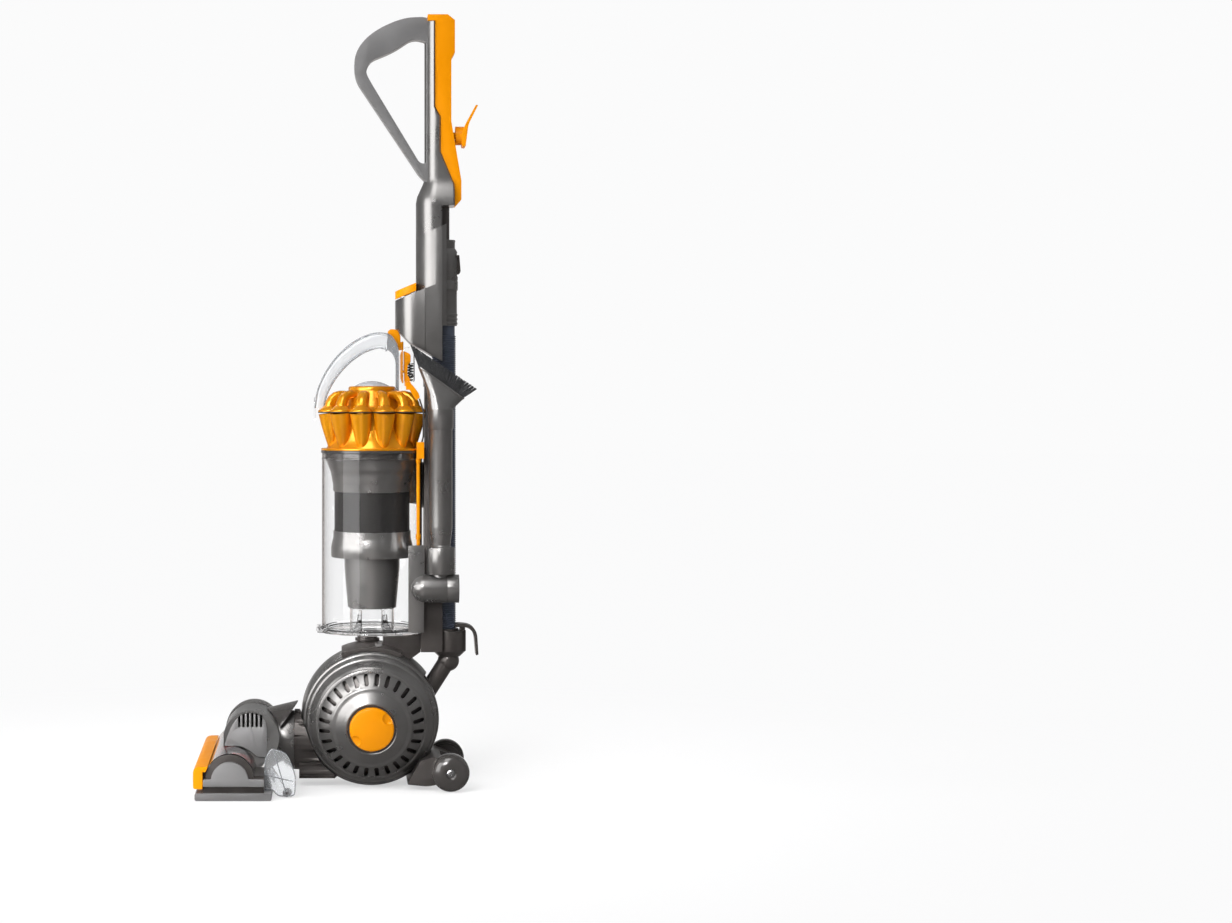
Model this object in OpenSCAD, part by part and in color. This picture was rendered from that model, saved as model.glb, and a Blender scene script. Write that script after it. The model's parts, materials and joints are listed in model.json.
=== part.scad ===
// Upright vacuum cleaner on a rolling ball, millimetres, +Z up.
// Origin on the floor under the middle of the plan; the head points to -Y, the right side is +X.

/* [Ball] */
// Radius of the rolling ball
ball_r = 99; // [88:1:112]
// Wall of the ball's shells
ball_wall = 3; // [2:0.5:4]
// Tilt of each shell's axle, outer end down, in degrees
shell_tilt = 7; // [3:0.5:9]
// Distance of a shell's inner edge from the ball's centre
shell_edge = 30; // [28:0.5:34]
// Gap between the fixed band and a shell
band_gap = 4.5; // [3:0.5:6]
// Number of air slots in the right shell
slot_count = 28; // [20:1:32]
// Length of an air slot
slot_len = 15.5; // [10:0.5:17]
// Width of an air slot
slot_w = 6; // [4:0.5:7]
// Radius of the circle of air slots
slot_ring_r = 65; // [60:1:68]
// Radius of the filter cap
cap_r = 30.5; // [26:0.5:32]

/* [Floor head] */
// Width of the floor head
head_w = 340; // [300:5:380]
// Length of the soleplate
sole_len = 103; // [98:1:110]
// Radius over the brush bar's bristles
brush_r = 28.5; // [26:0.5:29]
// Radius of the brush bar's core
brush_core_r = 18; // [15:0.5:21]
// Outer radius of the clear brush cover
cover_r = 33; // [31:0.5:34]
// Width of the motor housing on the head
motor_box_w = 150; // [130:2:170]
// Outer radius of the motor housing's dome
motor_dome_r = 38; // [36:1:41]
// Number of cooling slots in each side of the motor housing
vent_count = 6; // [4:1:7]
// Radius of the front rollers
front_roller_r = 5; // [4:0.5:6]
// Radius of the neck collar
neck_r = 42; // [38:1:44]

/* [Stand] */
// Radius of a stand wheel
wheel_r = 26; // [22:1:30]
// Width of a stand wheel
wheel_w = 26; // [20:1:30]
// Distance of a stand wheel's middle from the centre plane
wheel_x = 84; // [78:1:92]

/* [Dust bin] */
// Outer radius of the dust bin
bin_r = 70; // [64:1:74]
// Wall of the dust bin
bin_wall = 2.4; // [2:0.2:4]
// Height of the dust bin's shell
bin_h = 248; // [220:2:270]
// Radius of the perforated mesh
mesh_r = 53; // [46:1:56]
// Number of mesh openings round the shroud
mesh_cols = 24; // [12:1:28]
// Number of rows of mesh openings
mesh_rows = 4; // [3:1:6]
// Radius of the inner cone at its foot
cone_foot_r = 34; // [28:1:36]

/* [Cyclones] */
// Number of cyclone cones
cyclone_count = 12; // [8:1:12]
// Radius of a cone at its top
cyclone_top_r = 15.6; // [12:0.1:15.7]
// Radius of a cone at its foot
cyclone_foot_r = 6; // [4:0.5:8]
// Radius of the circle of cones at their tops
cyclone_ring_r = 61.5; // [60:0.5:63]
// Height of a cone
cyclone_h = 50; // [44:1:56]
// Radius of the filter dome on top
dome_r = 27.5; // [22:0.5:30]

/* [Body and wand] */
// Width of the upper housing and the wand
column_w = 56; // [50:1:60]
// Height of the top of the grip
grip_top = 1072; // [1040:1:1100]
// Width of the grip
grip_w = 24; // [20:1:30]
// Width of the handle's upper part
handle_w = 38; // [34:1:44]
// Outer radius of the hose
hose_r = 17; // [15:0.5:18]
// Pitch of the hose's ribs
rib_pitch = 3.2; // [2.8:0.1:5]
// Radius of the combination tool's tube
tool_r = 16; // [14:0.5:17]

/* [Fits] */
// Running clearance of a round pair, on the radius
fit_run = 0.06; // [0.02:0.01:0.1]
// Gap between pieces that move past each other
fit_gap = 0.4; // [0.3:0.1:0.6]

/* [Hidden] */
$fn = 48;

iron = [0.36, 0.35, 0.34];
dark = [0.16, 0.15, 0.15];
yellow = [0.98, 0.68, 0.02];
amber = [0.93, 0.58, 0.05, 0.9];
clear = [0.85, 0.9, 0.95, 0.35];
silver = [0.7, 0.7, 0.72];

ball_y = 45;                            // ball centre, behind the middle of the plan
ball_z = shell_edge * sin(shell_tilt) + sqrt(ball_r * ball_r - shell_edge * shell_edge) * cos(shell_tilt);
sole_front = -193;
sole_back = sole_front + sole_len;
brush_y = sole_front + 47;
brush_z = brush_r + 0.5;
tunnel_r = brush_r + 1.8;
plate_h = 10;                           // soleplate thickness
bin_y = 46.6;                           // bin axis
bin_z = 214;                            // foot of the bin's shell
bin_top = bin_z + bin_h;
cyclone_top = bin_top + 8 + cyclone_h;  // the seam between the cones and their tops
column_back = 144;
hose_y = 147;                           // hose axis, behind the spine
cuff_z = 639;                           // foot of the hose cuff
socket_y = 154.5;
socket_z = 186;
tool_x = 46;
tool_y = 141;
big = 400;                              // larger than any piece, for cutting

// Places its children at the ball's centre
module at_ball() translate([0, ball_y, ball_z]) children();

// Turns the Z axis to a shell's axle: side 1 is right, -1 is left
module on_axle(side) at_ball() rotate([0, side * (90 + shell_tilt), 0]) children();

// A bar of length len along X, centred, from a profile drawn in the side view (Y, Z)
module side_profile(len) rotate([90, 0, 90]) translate([0, 0, -len / 2]) linear_extrude(len) children();

// A part of a ring about the X axis through the ball's centre.
// Angles start at the front and run down, under the ball and up its back.
module ball_arc(r_in, r_out, x_in, x_out, from, to)
    at_ball() rotate([-90, 0, -90]) rotate([0, 0, from]) rotate_extrude(angle = to - from)
        translate([r_in, x_in]) square([r_out - r_in, x_out - x_in]);

// A cylinder along X, centred at x
module rod_x(r, len, x = 0) translate([x, 0, 0]) rotate([0, 90, 0]) cylinder(r = r, h = len, center = true);

// A box given by its two corners
module span(low, high) translate(low) cube(high - low);

// An outline with its corners rounded: each point is [x, y, reach of the rounding]
function rounded(points, steps = 5) = [
    for (i = [0 : len(points) - 1])
        let (
            here = [points[i][0], points[i][1]],
            before = points[(i + len(points) - 1) % len(points)],
            after = points[(i + 1) % len(points)],
            to_before = [before[0], before[1]] - here,
            to_after = [after[0], after[1]] - here,
            start = here + to_before * min(0.48, points[i][2] / norm(to_before)),
            end = here + to_after * min(0.48, points[i][2] / norm(to_after))
        )
        for (k = [0 : steps])
            let (t = k / steps)
            start * (1 - t) * (1 - t) + here * 2 * t * (1 - t) + end * t * t
];

// ---------- Floor head ----------
end_wall_x = head_w / 2 - 12;           // inner face of the end walls
end_cap_x = head_w / 2 - 6;             // inner face of the end caps
arch_r = 25;                            // end cap's arch
cover_wall = 2;
motor_y = brush_y + 26;
motor_z = brush_z + 43;
motor_half = motor_box_w / 2;
belt_x = -42;                           // middle of the belt, left of the centre
belt_w = 8;
brush_pulley_r = 13;
motor_pinion_r = 6;
motor_can_r = 16;
neck_z = 62;                            // neck axis, along Y
neck_front = -100;
neck_back = -62;
neck_bore_r = neck_r - 5;
stub_r = 6;                             // brush bar's end stubs
roller_x = 122;
front_roller_y = sole_front + 10;
rear_roller_y = -70;
rear_roller_r = 6;
leg_x = 133;                            // inner face of a rear leg
roller_axle_r = 1.8;

module at_brush() translate([0, brush_y, brush_z]) children();
module at_head_motor() translate([0, motor_y, motor_z]) children();
module at_neck(y = 0) translate([0, y, neck_z]) rotate([-90, 0, 0]) children();

lip_z = 38.6;                           // underside of the bumper's lip
front_wall_y = -182;
cover_foot_z = brush_z + 3.4;                 // where the clear cover stands on the housing
deck_back = -100.3;

module soleplate() {
    mouth_half = sqrt(brush_r * brush_r - (brush_z - plate_h) * (brush_z - plate_h)) + 3;
    mouth_x = end_wall_x - 4;
    color(iron) difference() {
        side_profile(head_w - 4) polygon(rounded([
            [sole_front, 0, 3], [sole_back, 0, 3], [sole_back, plate_h, 1], [sole_front, plate_h, 3]]));
        span([-mouth_x, brush_y - mouth_half, -1], [mouth_x, brush_y + mouth_half, plate_h + 1]);
        for (side = [-1, 1]) {
            span([side * roller_x - 8, front_roller_y - 6, -1], [side * roller_x + 8, front_roller_y + 6, plate_h + 1]);
            translate([0, front_roller_y, front_roller_r + 0.2]) rod_x(2 + fit_run, 24, side * roller_x);
        }
        for (side = [-1, 1])
            for (y = [sole_front + 4 : 5 : sole_front + 14])
                span([-60, y, -1], [60, y + 1.5, 1]);
    }
}

module brush_housing() {
    wall = 2.6;
    color(dark) difference() {
        union() {
            for (side = [-1, 1]) translate([side * (end_wall_x + 3), 0, 0]) {
                at_brush() rod_x(tunnel_r + 1.7, 6);
                translate([-3, front_wall_y, plate_h]) cube([6, deck_back - front_wall_y, brush_z - plate_h]);
            }
            span([-end_wall_x, front_wall_y, plate_h], [end_wall_x, front_wall_y + wall, lip_z - 0.4]);
            difference() {
                span([-end_wall_x, brush_y + 20, plate_h], [end_wall_x, deck_back, cover_foot_z]);
                at_brush() rod_x(tunnel_r, head_w);
            }
            span([-36, deck_back, plate_h], [36, sole_back, neck_z - 30]);
        }
        span([-head_w, -300, -60], [head_w, 0, plate_h]);
        at_brush() rod_x(stub_r + fit_run, head_w);
        for (side = [-1, 1]) {
            at_brush() rod_x(stub_r + 4, 3, side * (end_wall_x + 1.5));
            span([side * roller_x - 8, -200, 0], [side * roller_x + 8, front_roller_y + 6, plate_h + 2]);
        }
        at_neck(deck_back - 1) cylinder(r = neck_r - 2 + 0.05, h = 20);
    }
}

module end_caps() {
    color(iron) for (side = [-1, 1]) translate([side * (end_cap_x + 3), 0, 0]) {
        difference() {
            union() {
                side_profile(6) polygon(rounded([[-181.7, 19, 2], [-100, 19, 2], [-100, 29, 3], [-124, 29, 4],
                    [-130, 40, 6], [-162, 40, 6], [-168, 29, 4], [-181.7, 29, 2]]));
                translate([0, brush_y, brush_z - 2]) rod_x(arch_r, 6);
            }
            span([-4, -200, 0], [4, -90, 19]);
            translate([-side * 3, 0, 0]) at_brush() rod_x(stub_r + 1, 4);
        }
    }
}

module brush_cover() {
    reach = end_wall_x - 0.3;
    color(clear) difference() {
        at_brush() rod_x(cover_r, 2 * reach);
        at_brush() rod_x(cover_r - cover_wall, 2 * reach + 2);
        span([-head_w, -260, -20], [head_w, -60, cover_foot_z]);
        span([belt_x - belt_w, brush_y + 2, 0], [belt_x + belt_w, brush_y + 34, brush_z + cover_r + 1]);
    }
}

module bumper() color(yellow) difference() {
    side_profile(head_w) polygon(rounded([[-195, 16, 3], [-195, 42, 4], [-189, 46, 4], [-172, 46, 2],
        [-172, lip_z, 1], [front_wall_y, lip_z, 0.1], [front_wall_y, 16, 1]]));
    at_brush() rod_x(cover_r + fit_gap, head_w + 2);
}

module motor_housing() {
    vent_pitch = 6;
    wall = 3;
    color(iron) difference() {
        union() {
            difference() {
                union() {
                    at_head_motor() rod_x(motor_dome_r, motor_box_w);
                    side_profile(motor_box_w) polygon([[-158, 80], [-158, 58], [-120, cover_foot_z + 0.2],
                        [-101, cover_foot_z + 0.2], [-84, 60], [-84, 80]]);
                    for (k = [0 : 2])
                        at_head_motor() rod_x(motor_dome_r + 1.2, 2.5, belt_x - 12 + 12 * k);
                }
                at_head_motor() rod_x(motor_dome_r - wall, motor_box_w - 2 * wall);
                span([belt_x - 11, -170, 50], [belt_x + 11, -156, 78]);
            }
            for (x = [-20, 52]) at_head_motor() difference() {
                rod_x(motor_dome_r - wall + 0.5, 3, x);
                rod_x(motor_can_r + 0.2, 5, x);
            }
        }
        at_brush() rod_x(cover_r + fit_gap, motor_box_w + 10);
        for (side = [-1, 1]) for (k = [0 : vent_count - 1]) intersection() {
            span([side * motor_half - 5, motor_y - 18 + vent_pitch * k, 88], [side * motor_half + 5, motor_y - 15 + vent_pitch * k, 110]);
            at_head_motor() rod_x(motor_dome_r - wall, 2 * head_w);
        }
        at_neck(neck_front - 1) cylinder(r = neck_r - 2 + 0.3, h = 60);
    }
}

module brush_motor() {
    color(silver) at_head_motor() {
        rod_x(motor_can_r, 84, 16);
        rod_x(10, 6, -29);
        rod_x(3, 24, -40);
        rod_x(motor_pinion_r, belt_w + 2, belt_x);
    }
}

// The outline of a belt round two wheels: radius large at the origin, small at distance d along +X
module belt_outline(large, small, d) hull() {
    circle(r = large, $fn = 32);
    translate([d, 0]) circle(r = small, $fn = 24);
}

module drive_belt() {
    d = norm([motor_y - brush_y, motor_z - brush_z]);
    lean = atan2(motor_z - brush_z, motor_y - brush_y);
    color(dark) translate([belt_x - belt_w / 2, brush_y, brush_z]) rotate([90, 0, 90]) rotate([0, 0, lean])
        linear_extrude(belt_w) difference() {
            belt_outline(brush_pulley_r + 2.1, motor_pinion_r + 2.1, d);
            belt_outline(brush_pulley_r + 0.5, motor_pinion_r + 0.5, d);
        }
}

// A flared half collar round the neck, cut on a slant
module neck_shroud() {
    slope = 0.24;
    len = 47;
    r_in = neck_r - 2 + 0.4;
    color(dark) difference() {
        at_neck(neck_front - 4) difference() {
            cylinder(r1 = r_in + 2.4, r2 = r_in + 2.4 + slope * len, h = len);
            translate([0, 0, -0.01]) cylinder(r1 = r_in, r2 = r_in + slope * len, h = len + 0.02);
        }
        side_profile(200) polygon([[-99, 61], [-56, 116.5], [-40, 121.5], [-40, 0], [-120, 0], [-120, 61]]);
        at_head_motor() rod_x(motor_dome_r + 1.5, motor_box_w);
        span([-80, -120, 0], [80, -100.7, 90]);
    }
}

// The fixed pipe that the yoke turns in
module neck_tube() {
    color(iron) difference() {
        at_neck(neck_front) cylinder(r = neck_r - 2, h = neck_back - neck_front);
        at_neck(neck_front + 4) cylinder(r = neck_bore_r, h = neck_back - neck_front);
        at_neck(neck_front - 1) cylinder(r = 22, h = 10);
        at_head_motor() rod_x(motor_dome_r + 0.3, motor_box_w);
        at_brush() rod_x(cover_r + fit_gap, head_w);
        span([-80, -120, 0], [80, deck_back, cover_foot_z + 0.4]);
    }
}

module rear_legs() {
    color(clear) difference() {
        for (side = [-1, 1]) translate([side * (leg_x + 2), 0, 0])
            side_profile(4) polygon(rounded([[-100, plate_h + 0.2, 1], [-100, 50, 6], [-92, 67, 8], [-70, 60, 8], [-58, 30, 8],
                [-59, 1.5, 6], [-82, 1.5, 5], [-89.6, plate_h + 0.2, 2]]));
        translate([0, rear_roller_y, rear_roller_r + 0.2]) rod_x(roller_axle_r + fit_run, head_w);
    }
}

module brush_bar() {
    color(dark) at_brush() difference() {
        union() {
            rod_x(brush_core_r, belt_x - belt_w - 3 + end_wall_x - 4, (belt_x - belt_w - 3 - end_wall_x + 4) / 2);
            rod_x(brush_core_r, end_wall_x - 4 - belt_x - belt_w - 3, (end_wall_x - 4 + belt_x + belt_w + 3) / 2);
            rod_x(brush_pulley_r, belt_w * 2 + 8, belt_x);
            rod_x(stub_r, 2 * (end_wall_x + 5));
            for (side = [-1, 1]) rod_x(brush_core_r + 3, 2, side * (end_wall_x - 6));
        }
        rod_x(2.5, head_w);
    }
}

// Helical rows of bristle tufts on both halves of the bar, turned from each other by half a turn
module bristle_rows(first) {
    tuft_r = 2.2;
    pitch = 11;
    twist = 12;                         // degrees from one tuft to the next
    far = end_wall_x - 12;
    near = belt_w + 9;
    for (side = [-1, 1]) {
        half = far - near - side * belt_x;
        count = floor(half / pitch);
        for (k = [0 : count]) for (row = [0, 180])
            at_brush() translate([belt_x + side * (near + k * pitch), 0, 0]) rotate([first + row + k * twist, 0, 0])
                translate([0, 0, brush_core_r + 0.15]) cylinder(r = tuft_r, h = brush_r - brush_core_r - 0.15);
    }
}

module black_bristles() color(dark) bristle_rows(0);

module red_bristles() color([0.8, 0.1, 0.08]) bristle_rows(90);

module front_rollers() color(dark) for (side = [-1, 1])
    translate([0, front_roller_y, front_roller_r + 0.2]) {
        rod_x(front_roller_r, 14, side * roller_x);
        rod_x(2, 22, side * roller_x);
    }

module rear_rollers() color(dark) for (side = [-1, 1])
    translate([0, rear_roller_y, rear_roller_r + 0.2]) {
        rod_x(roller_axle_r, 15, side * (leg_x - 3.5));
        rod_x(rear_roller_r, 10, side * (leg_x - 6));
    }

// ---------- Yoke, ball and stand ----------
rim_h = 1.2;                            // height of a shell's raised rims
rim_places = [43.5, 61, 81];            // rims, measured along the axle
core_r = 93;
core_half = 15.2;                       // half the width of the core
boss_r = 42;                            // boss that the yoke and the stand turn on
yoke_x = [15.6, 18];                    // a yoke arm's faces
stand_x = [18.4, 20.9];                 // a stand arm's faces
eye_r = 50;
spindle_r = 33.5;
spindle_bore_r = 31;
spindle_end = 90;
bearing_at = 60;
bearing_w = 10;
bearing_r = 38;
hub_wall = 3.4;
band_r = 97.2;
band_from = 217;                        // band's ends, as ball_arc angles
band_to = 384;
cradle_r = ball_r + 1;
yoke_arm = [42, 60];                    // angles of the yoke's arms
stand_arm = [133, 147];
motor_r = 28;
impeller_r = 44;
wheel_y = 153;
post_filter_len = 56;

module yoke() {
    duct_low = 11;
    duct_half = 30;
    rib_z = [15 : 6 : 40];
    color(dark) {
        difference() {
            union() {
                at_neck(neck_front + 6) cylinder(r = neck_bore_r - fit_run, h = 45);
                at_neck(-61.5) cylinder(r = neck_r, h = 55);
                span([-duct_half, -55, duct_low], [duct_half, -6, 46]);
            }
            at_ball() rotate([0, 90, 0]) sphere(r = cradle_r);
            at_neck(neck_front) cylinder(r = neck_bore_r - 5, h = 46);
            for (side = [-1, 1]) for (z = rib_z)
                span([side * duct_half - 1, -60, z], [side * duct_half + 1, 0, z + 2.4]);
        }
        for (side = [-1, 1]) {
            x = side > 0 ? yoke_x[0] : -yoke_x[1];
            ball_arc(boss_r + fit_run, eye_r, x, x + yoke_x[1] - yoke_x[0], 0, 360);
            ball_arc(eye_r - 1, cradle_r + 2, x, x + yoke_x[1] - yoke_x[0], yoke_arm[0], yoke_arm[1]);
        }
    }
}

module ball_core() {
    color(dark) difference() {
        union() {
            at_ball() rod_x(core_r, 2 * core_half);
            ball_arc(core_r - 1, band_r - ball_wall - 0.2, -core_half, core_half, band_from, band_to);
            at_ball() rod_x(boss_r, 44);
            for (side = [-1, 1]) on_axle(side) cylinder(r = spindle_r, h = spindle_end - (side < 0 ? 5 : 0));
        }
        on_axle(1) cylinder(r = spindle_bore_r, h = spindle_end + 1);
        on_axle(-1) translate([0, 0, 2]) cylinder(r = motor_r + 0.3, h = 76);
        on_axle(-1) translate([0, 0, -12]) cylinder(r = impeller_r + 1, h = 17);
        on_axle(-1) translate([0, 0, -13]) cylinder(r = spindle_bore_r, h = 3);
        at_ball() sphere(r = 10);
        at_ball() translate([0, -6, 40]) cylinder(r = 12, h = 80);
    }
}

// The part of the ball between the two shells' gaps
module between_gaps(half) for (side = [-1, 1]) on_axle(side) translate([-big, -big, half]) cube(2 * big);

module centre_band() {
    color(iron) difference() {
        at_ball() sphere(r = band_r);
        at_ball() sphere(r = band_r - ball_wall);
        at_ball() rod_x(band_r - ball_wall - 0.1, 2 * core_half + 0.4);
        between_gaps(shell_edge - band_gap);
        ball_arc(60, 120, -60, 60, band_to - 360, band_from);
        at_ball() translate([0, -5, 50]) cylinder(r = 13, h = 80);
    }
}

module shell_bearings() color(silver) for (side = [-1, 1])
    on_axle(side) translate([0, 0, bearing_at]) difference() {
        cylinder(r = bearing_r, h = bearing_w);
        translate([0, 0, -1]) cylinder(r = spindle_r + 0.05, h = bearing_w + 2);
    }

// A rolling shell in its own axis: Z runs outwards along the axle
module shell_body(open_end) {
    hub_r = bearing_r + fit_run;
    difference() {
        union() {
            sphere(r = ball_r - rim_h);
            intersection() {
                sphere(r = ball_r);
                union() {
                    translate([0, 0, shell_edge]) cylinder(r = ball_r, h = 3);
                    for (place = rim_places) translate([0, 0, place]) cylinder(r = ball_r, h = 2);
                }
            }
        }
        difference() {
            sphere(r = ball_r - rim_h - ball_wall);
            translate([0, 0, bearing_at - 2]) cylinder(r = hub_r + hub_wall, h = ball_r);
        }
        translate([-big, -big, shell_edge - 2 * big]) cube(2 * big);
        translate([0, 0, bearing_at - 3]) cylinder(r = hub_r, h = bearing_w + 18);
        if (open_end) cylinder(r = spindle_r + fit_gap, h = big);
    }
}

module ball_shell_right() color(iron) on_axle(1) difference() {
    shell_body(true);
    for (k = [0 : slot_count - 1]) rotate([0, 0, 360 / slot_count * (k + 0.5)]) translate([slot_ring_r, 0, 50]) {
        translate([-(slot_len - slot_w) / 2, -slot_w / 2, 0]) cube([slot_len - slot_w, slot_w, 60]);
        for (end = [-1, 1]) translate([end * (slot_len - slot_w) / 2, 0, 0]) cylinder(r = slot_w / 2, h = 60);
    }
}

module ball_shell_left() color(iron) on_axle(-1) shell_body(false);

module filter_cap() color(yellow) on_axle(1) difference() {
    intersection() {
        sphere(r = ball_r - rim_h);
        translate([0, 0, spindle_end - 4]) cylinder(r = cap_r, h = 20);
    }
    translate([0, 0, spindle_end - 5]) cylinder(r = cap_r - 4, h = 4);
    for (side = [-1, 1]) rotate([0, 0, 35]) translate([0, side * (cap_r + 1), spindle_end - 2 + 7])
        intersection() {
            cylinder(r = 9, h = 12);
            translate([-9, -9, 0]) cube([18, 18, 12]);
        }
}

module post_filter() color([0.9, 0.9, 0.88]) on_axle(1) translate([0, 0, spindle_end - 4.4 - post_filter_len]) difference() {
    cylinder(r = spindle_bore_r - 0.3, h = post_filter_len);
    translate([0, 0, -1]) cylinder(r = 14, h = post_filter_len - 5);
}

module motor_can() color(silver) on_axle(-1) difference() {
    translate([0, 0, 8]) cylinder(r = motor_r, h = 68);
    translate([0, 0, 7]) cylinder(r = 4 + fit_run, h = 30);
}

module impeller() color(dark) on_axle(-1) {
    cylinder(r = 4, h = 32);
    translate([0, 0, -9]) cylinder(r = 12, h = 10);
    translate([0, 0, 2]) cylinder(r = impeller_r, h = 2);
    for (k = [0 : 8]) rotate([0, 0, 40 * k]) translate([8, -1, -8]) cube([impeller_r - 11, 2, 10.5]);
}

module stand_frame() {
    hub_x = wheel_x - wheel_w / 2 - 0.6;
    color(dark) {
        difference() {
            side_profile(2 * hub_x) polygon(rounded([[94, 8, 2], [125, 5, 10], [152, 13, 10], [164, 26, 8],
                [157, 37, 8], [131, 46, 4], [112, 40, 2]]));
            at_ball() sphere(r = cradle_r);
            span([-30, 142, -10], [30, 190, 60]);
        }
        translate([0, wheel_y, wheel_r]) for (side = [-1, 1]) rod_x(5, wheel_w + 3, side * (wheel_x - 5.5));
        for (side = [-1, 1]) {
            x = side > 0 ? stand_x[0] : -stand_x[1];
            ball_arc(boss_r + fit_run, eye_r, x, x + stand_x[1] - stand_x[0], 0, 360);
            ball_arc(eye_r - 1, cradle_r + 2, x, x + stand_x[1] - stand_x[0], stand_arm[0], stand_arm[1]);
        }
    }
}

// A domed wheel with its axle cap, its outer face towards +X for side 1
module stand_wheel(side) translate([side * wheel_x, wheel_y, wheel_r]) rotate([0, side * 90, 0]) {
    color(dark) difference() {
        intersection() {
            translate([0, 0, -wheel_w / 2]) cylinder(r = wheel_r, h = wheel_w);
            translate([0, 0, -6]) sphere(r = wheel_r + 2);
        }
        translate([0, 0, -wheel_w / 2 - 1]) cylinder(r = 5 + fit_run, h = wheel_w - 2);
        translate([0, 0, -wheel_w / 2 - 1]) cylinder(r = wheel_r - 5, h = 4);
        translate([0, 0, wheel_w / 2 - 2.5]) cylinder(r = 7, h = 5);
    }
    color(silver) translate([0, 0, wheel_w / 2 - 2.5]) cylinder(r = 5.8, h = 2);
}

module stand_wheel_right() stand_wheel(1);
module stand_wheel_left() stand_wheel(-1);

// ---------- Spine, upper housing, hose and its fittings ----------
spine_front = 119;
spine_back = 129;
spine_half = 26;
block_low = 186;
block_high = 258;
housing_low = 590;
housing_front = 79;
column_front = 108;
seam_front = 762.5;
seam_back = 779;
top_slope = 16 / 40;                    // rise of the housing's slanted top per mm to the back
band_h = 11;                            // height of the two buttons' band
button_gap = 1.8;
button_post_r = 5;
wand_y = 143;
wand_r = 12;
cuff_r = 20;
lever_pin_r = 1.5;
channel_r = cuff_r + 0.6;               // channel in the housing's back for the cuff and hose
hose_bore_r = hose_r - 4;
hose_low = 200;
holder_z = 275.5;
holder_r = 19.5;
spigot_r = 12;
column_r = column_w / 2;
cuff_top = 760;
socket_duct_r = 12;
cone_recess_r = 78.2;                   // room in the spine for the cyclones' tops

module bin_seat() {
    collar_r = band_r + 6;
    color(dark) difference() {
        union() {
            intersection() {
                at_ball() sphere(r = collar_r);
                span([-37, 4, 180], [37, 88, 208]);
            }
            translate([0, 40, 192]) cylinder(r = 14, h = bin_z - 2.9 - 192);
            translate([0, 40, 200]) cylinder(r = 17, h = 4);
            side_profile(50) polygon([[62, bin_z - 3.2], [62, 190], [92, 170], [113.7, block_low], [113.7, bin_z - 3.2]]);
        }
        at_ball() sphere(r = band_r + 0.3);
        for (side = [-1, 1]) on_axle(side) translate([0, 0, shell_edge - 1]) cylinder(r = ball_r + 1, h = 60);
        translate([0, 40, 150]) cylinder(r = 10.5, h = 100);
    }
}

module spine() {
    color(dark) difference() {
        union() {
            span([-spine_half, spine_front, block_high - 2], [spine_half, spine_back, housing_low + 2]);
            span([-30, 114, block_low], [30, column_back, block_high]);
            // Inlet duct round the left of the bin
            translate([0, bin_y, 385]) rotate([0, 0, 96]) rotate_extrude(angle = 60)
                translate([bin_r + 3.4, 0]) square([8, 64]);
            // Bracket of the tool holder
            span([24, 118, holder_z - 12], [tool_x - holder_r + 4, 136, holder_z + 12]);
        }
        translate([0, hose_y, block_low - 1]) cylinder(r = hose_r + 0.3, h = 500);
        translate([0, bin_y, 388]) rotate([0, 0, 100]) rotate_extrude(angle = 60)
            translate([bin_r + 5.4, 0]) square([4, 58]);
        translate([tool_x, 0, holder_z]) rotate([-90, 0, 0]) cylinder(r = holder_r + 0.02, h = 300);
        translate([0, socket_y, block_low - 1]) cylinder(r = 23.8, h = 30);
        at_bin(block_low - 1) cylinder(r = bin_r + 1.4, h = 90);
        at_bin(ring_z + 8) cylinder(r = cone_recess_r, h = 85);
    }
}

// Plan of the housing and column: a half-round front and a flat back
module column_plan(front, back) {
    translate([0, front + column_r]) circle(r = column_r);
    translate([-column_r, front + column_r]) square([column_w, back - front - column_r]);
}

// Everything behind the front line of the slanted top, below it by drop
module under_slope(drop, from_y, to_y) side_profile(big) polygon([[from_y, -10],
    [from_y, 688 - drop + (from_y - housing_front) * top_slope],
    [to_y, 688 - drop + (to_y - housing_front) * top_slope], [to_y, -10]]);

module upper_housing() {
    color(iron) difference() {
        union() {
            intersection() {
                linear_extrude(big * 2) column_plan(housing_front, column_back);
                under_slope(band_h + button_gap, 60, 160);
                side_profile(100) polygon([[60, 800], [60, 655], [79, 636], [100, 615], [144.5, housing_low], [144.5, 800]]);
            }
            intersection() {
                linear_extrude(big * 2) column_plan(column_front, column_back);
                side_profile(100) polygon([[100, 640], [150, 640], [150, seam_back + 2.7], [100, seam_front - 3.6]]);
            }
        }
        translate([0, hose_y, housing_low - 10]) cylinder(r = channel_r, h = cuff_top + 12 - housing_low);
        translate([0, wand_y, cuff_z]) cylinder(r = wand_r + 0.5, h = big);
        for (side = [-1, 1]) translate([side * 13, 97, 640]) cylinder(r = button_post_r + fit_run, h = 60);
    }
}

// One half of the slanted band on the housing's top
module band_button(side) {
    post_low = 655;
    intersection() {
        linear_extrude(big * 2) column_plan(housing_front, column_back);
        difference() {
            under_slope(0, 60, column_front - 0.5);
            under_slope(band_h, 0, 200);
        }
        span([side > 0 ? 0.3 : -40, 60, 600], [side > 0 ? 40 : -0.3, column_front - 0.5, 720]);
        difference() {
            span([-40, 60, 600], [40, 120, 720]);
            translate([0, column_front + column_r, 600]) cylinder(r = column_r + 0.5, h = 120);
        }
    }
    translate([side * 13, 97, post_low]) cylinder(r = button_post_r, h = 688 - band_h + 18 * top_slope - post_low + 0.5);
}

module power_button() color(yellow) band_button(1);
module brush_button() color(clear) band_button(-1);

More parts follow.
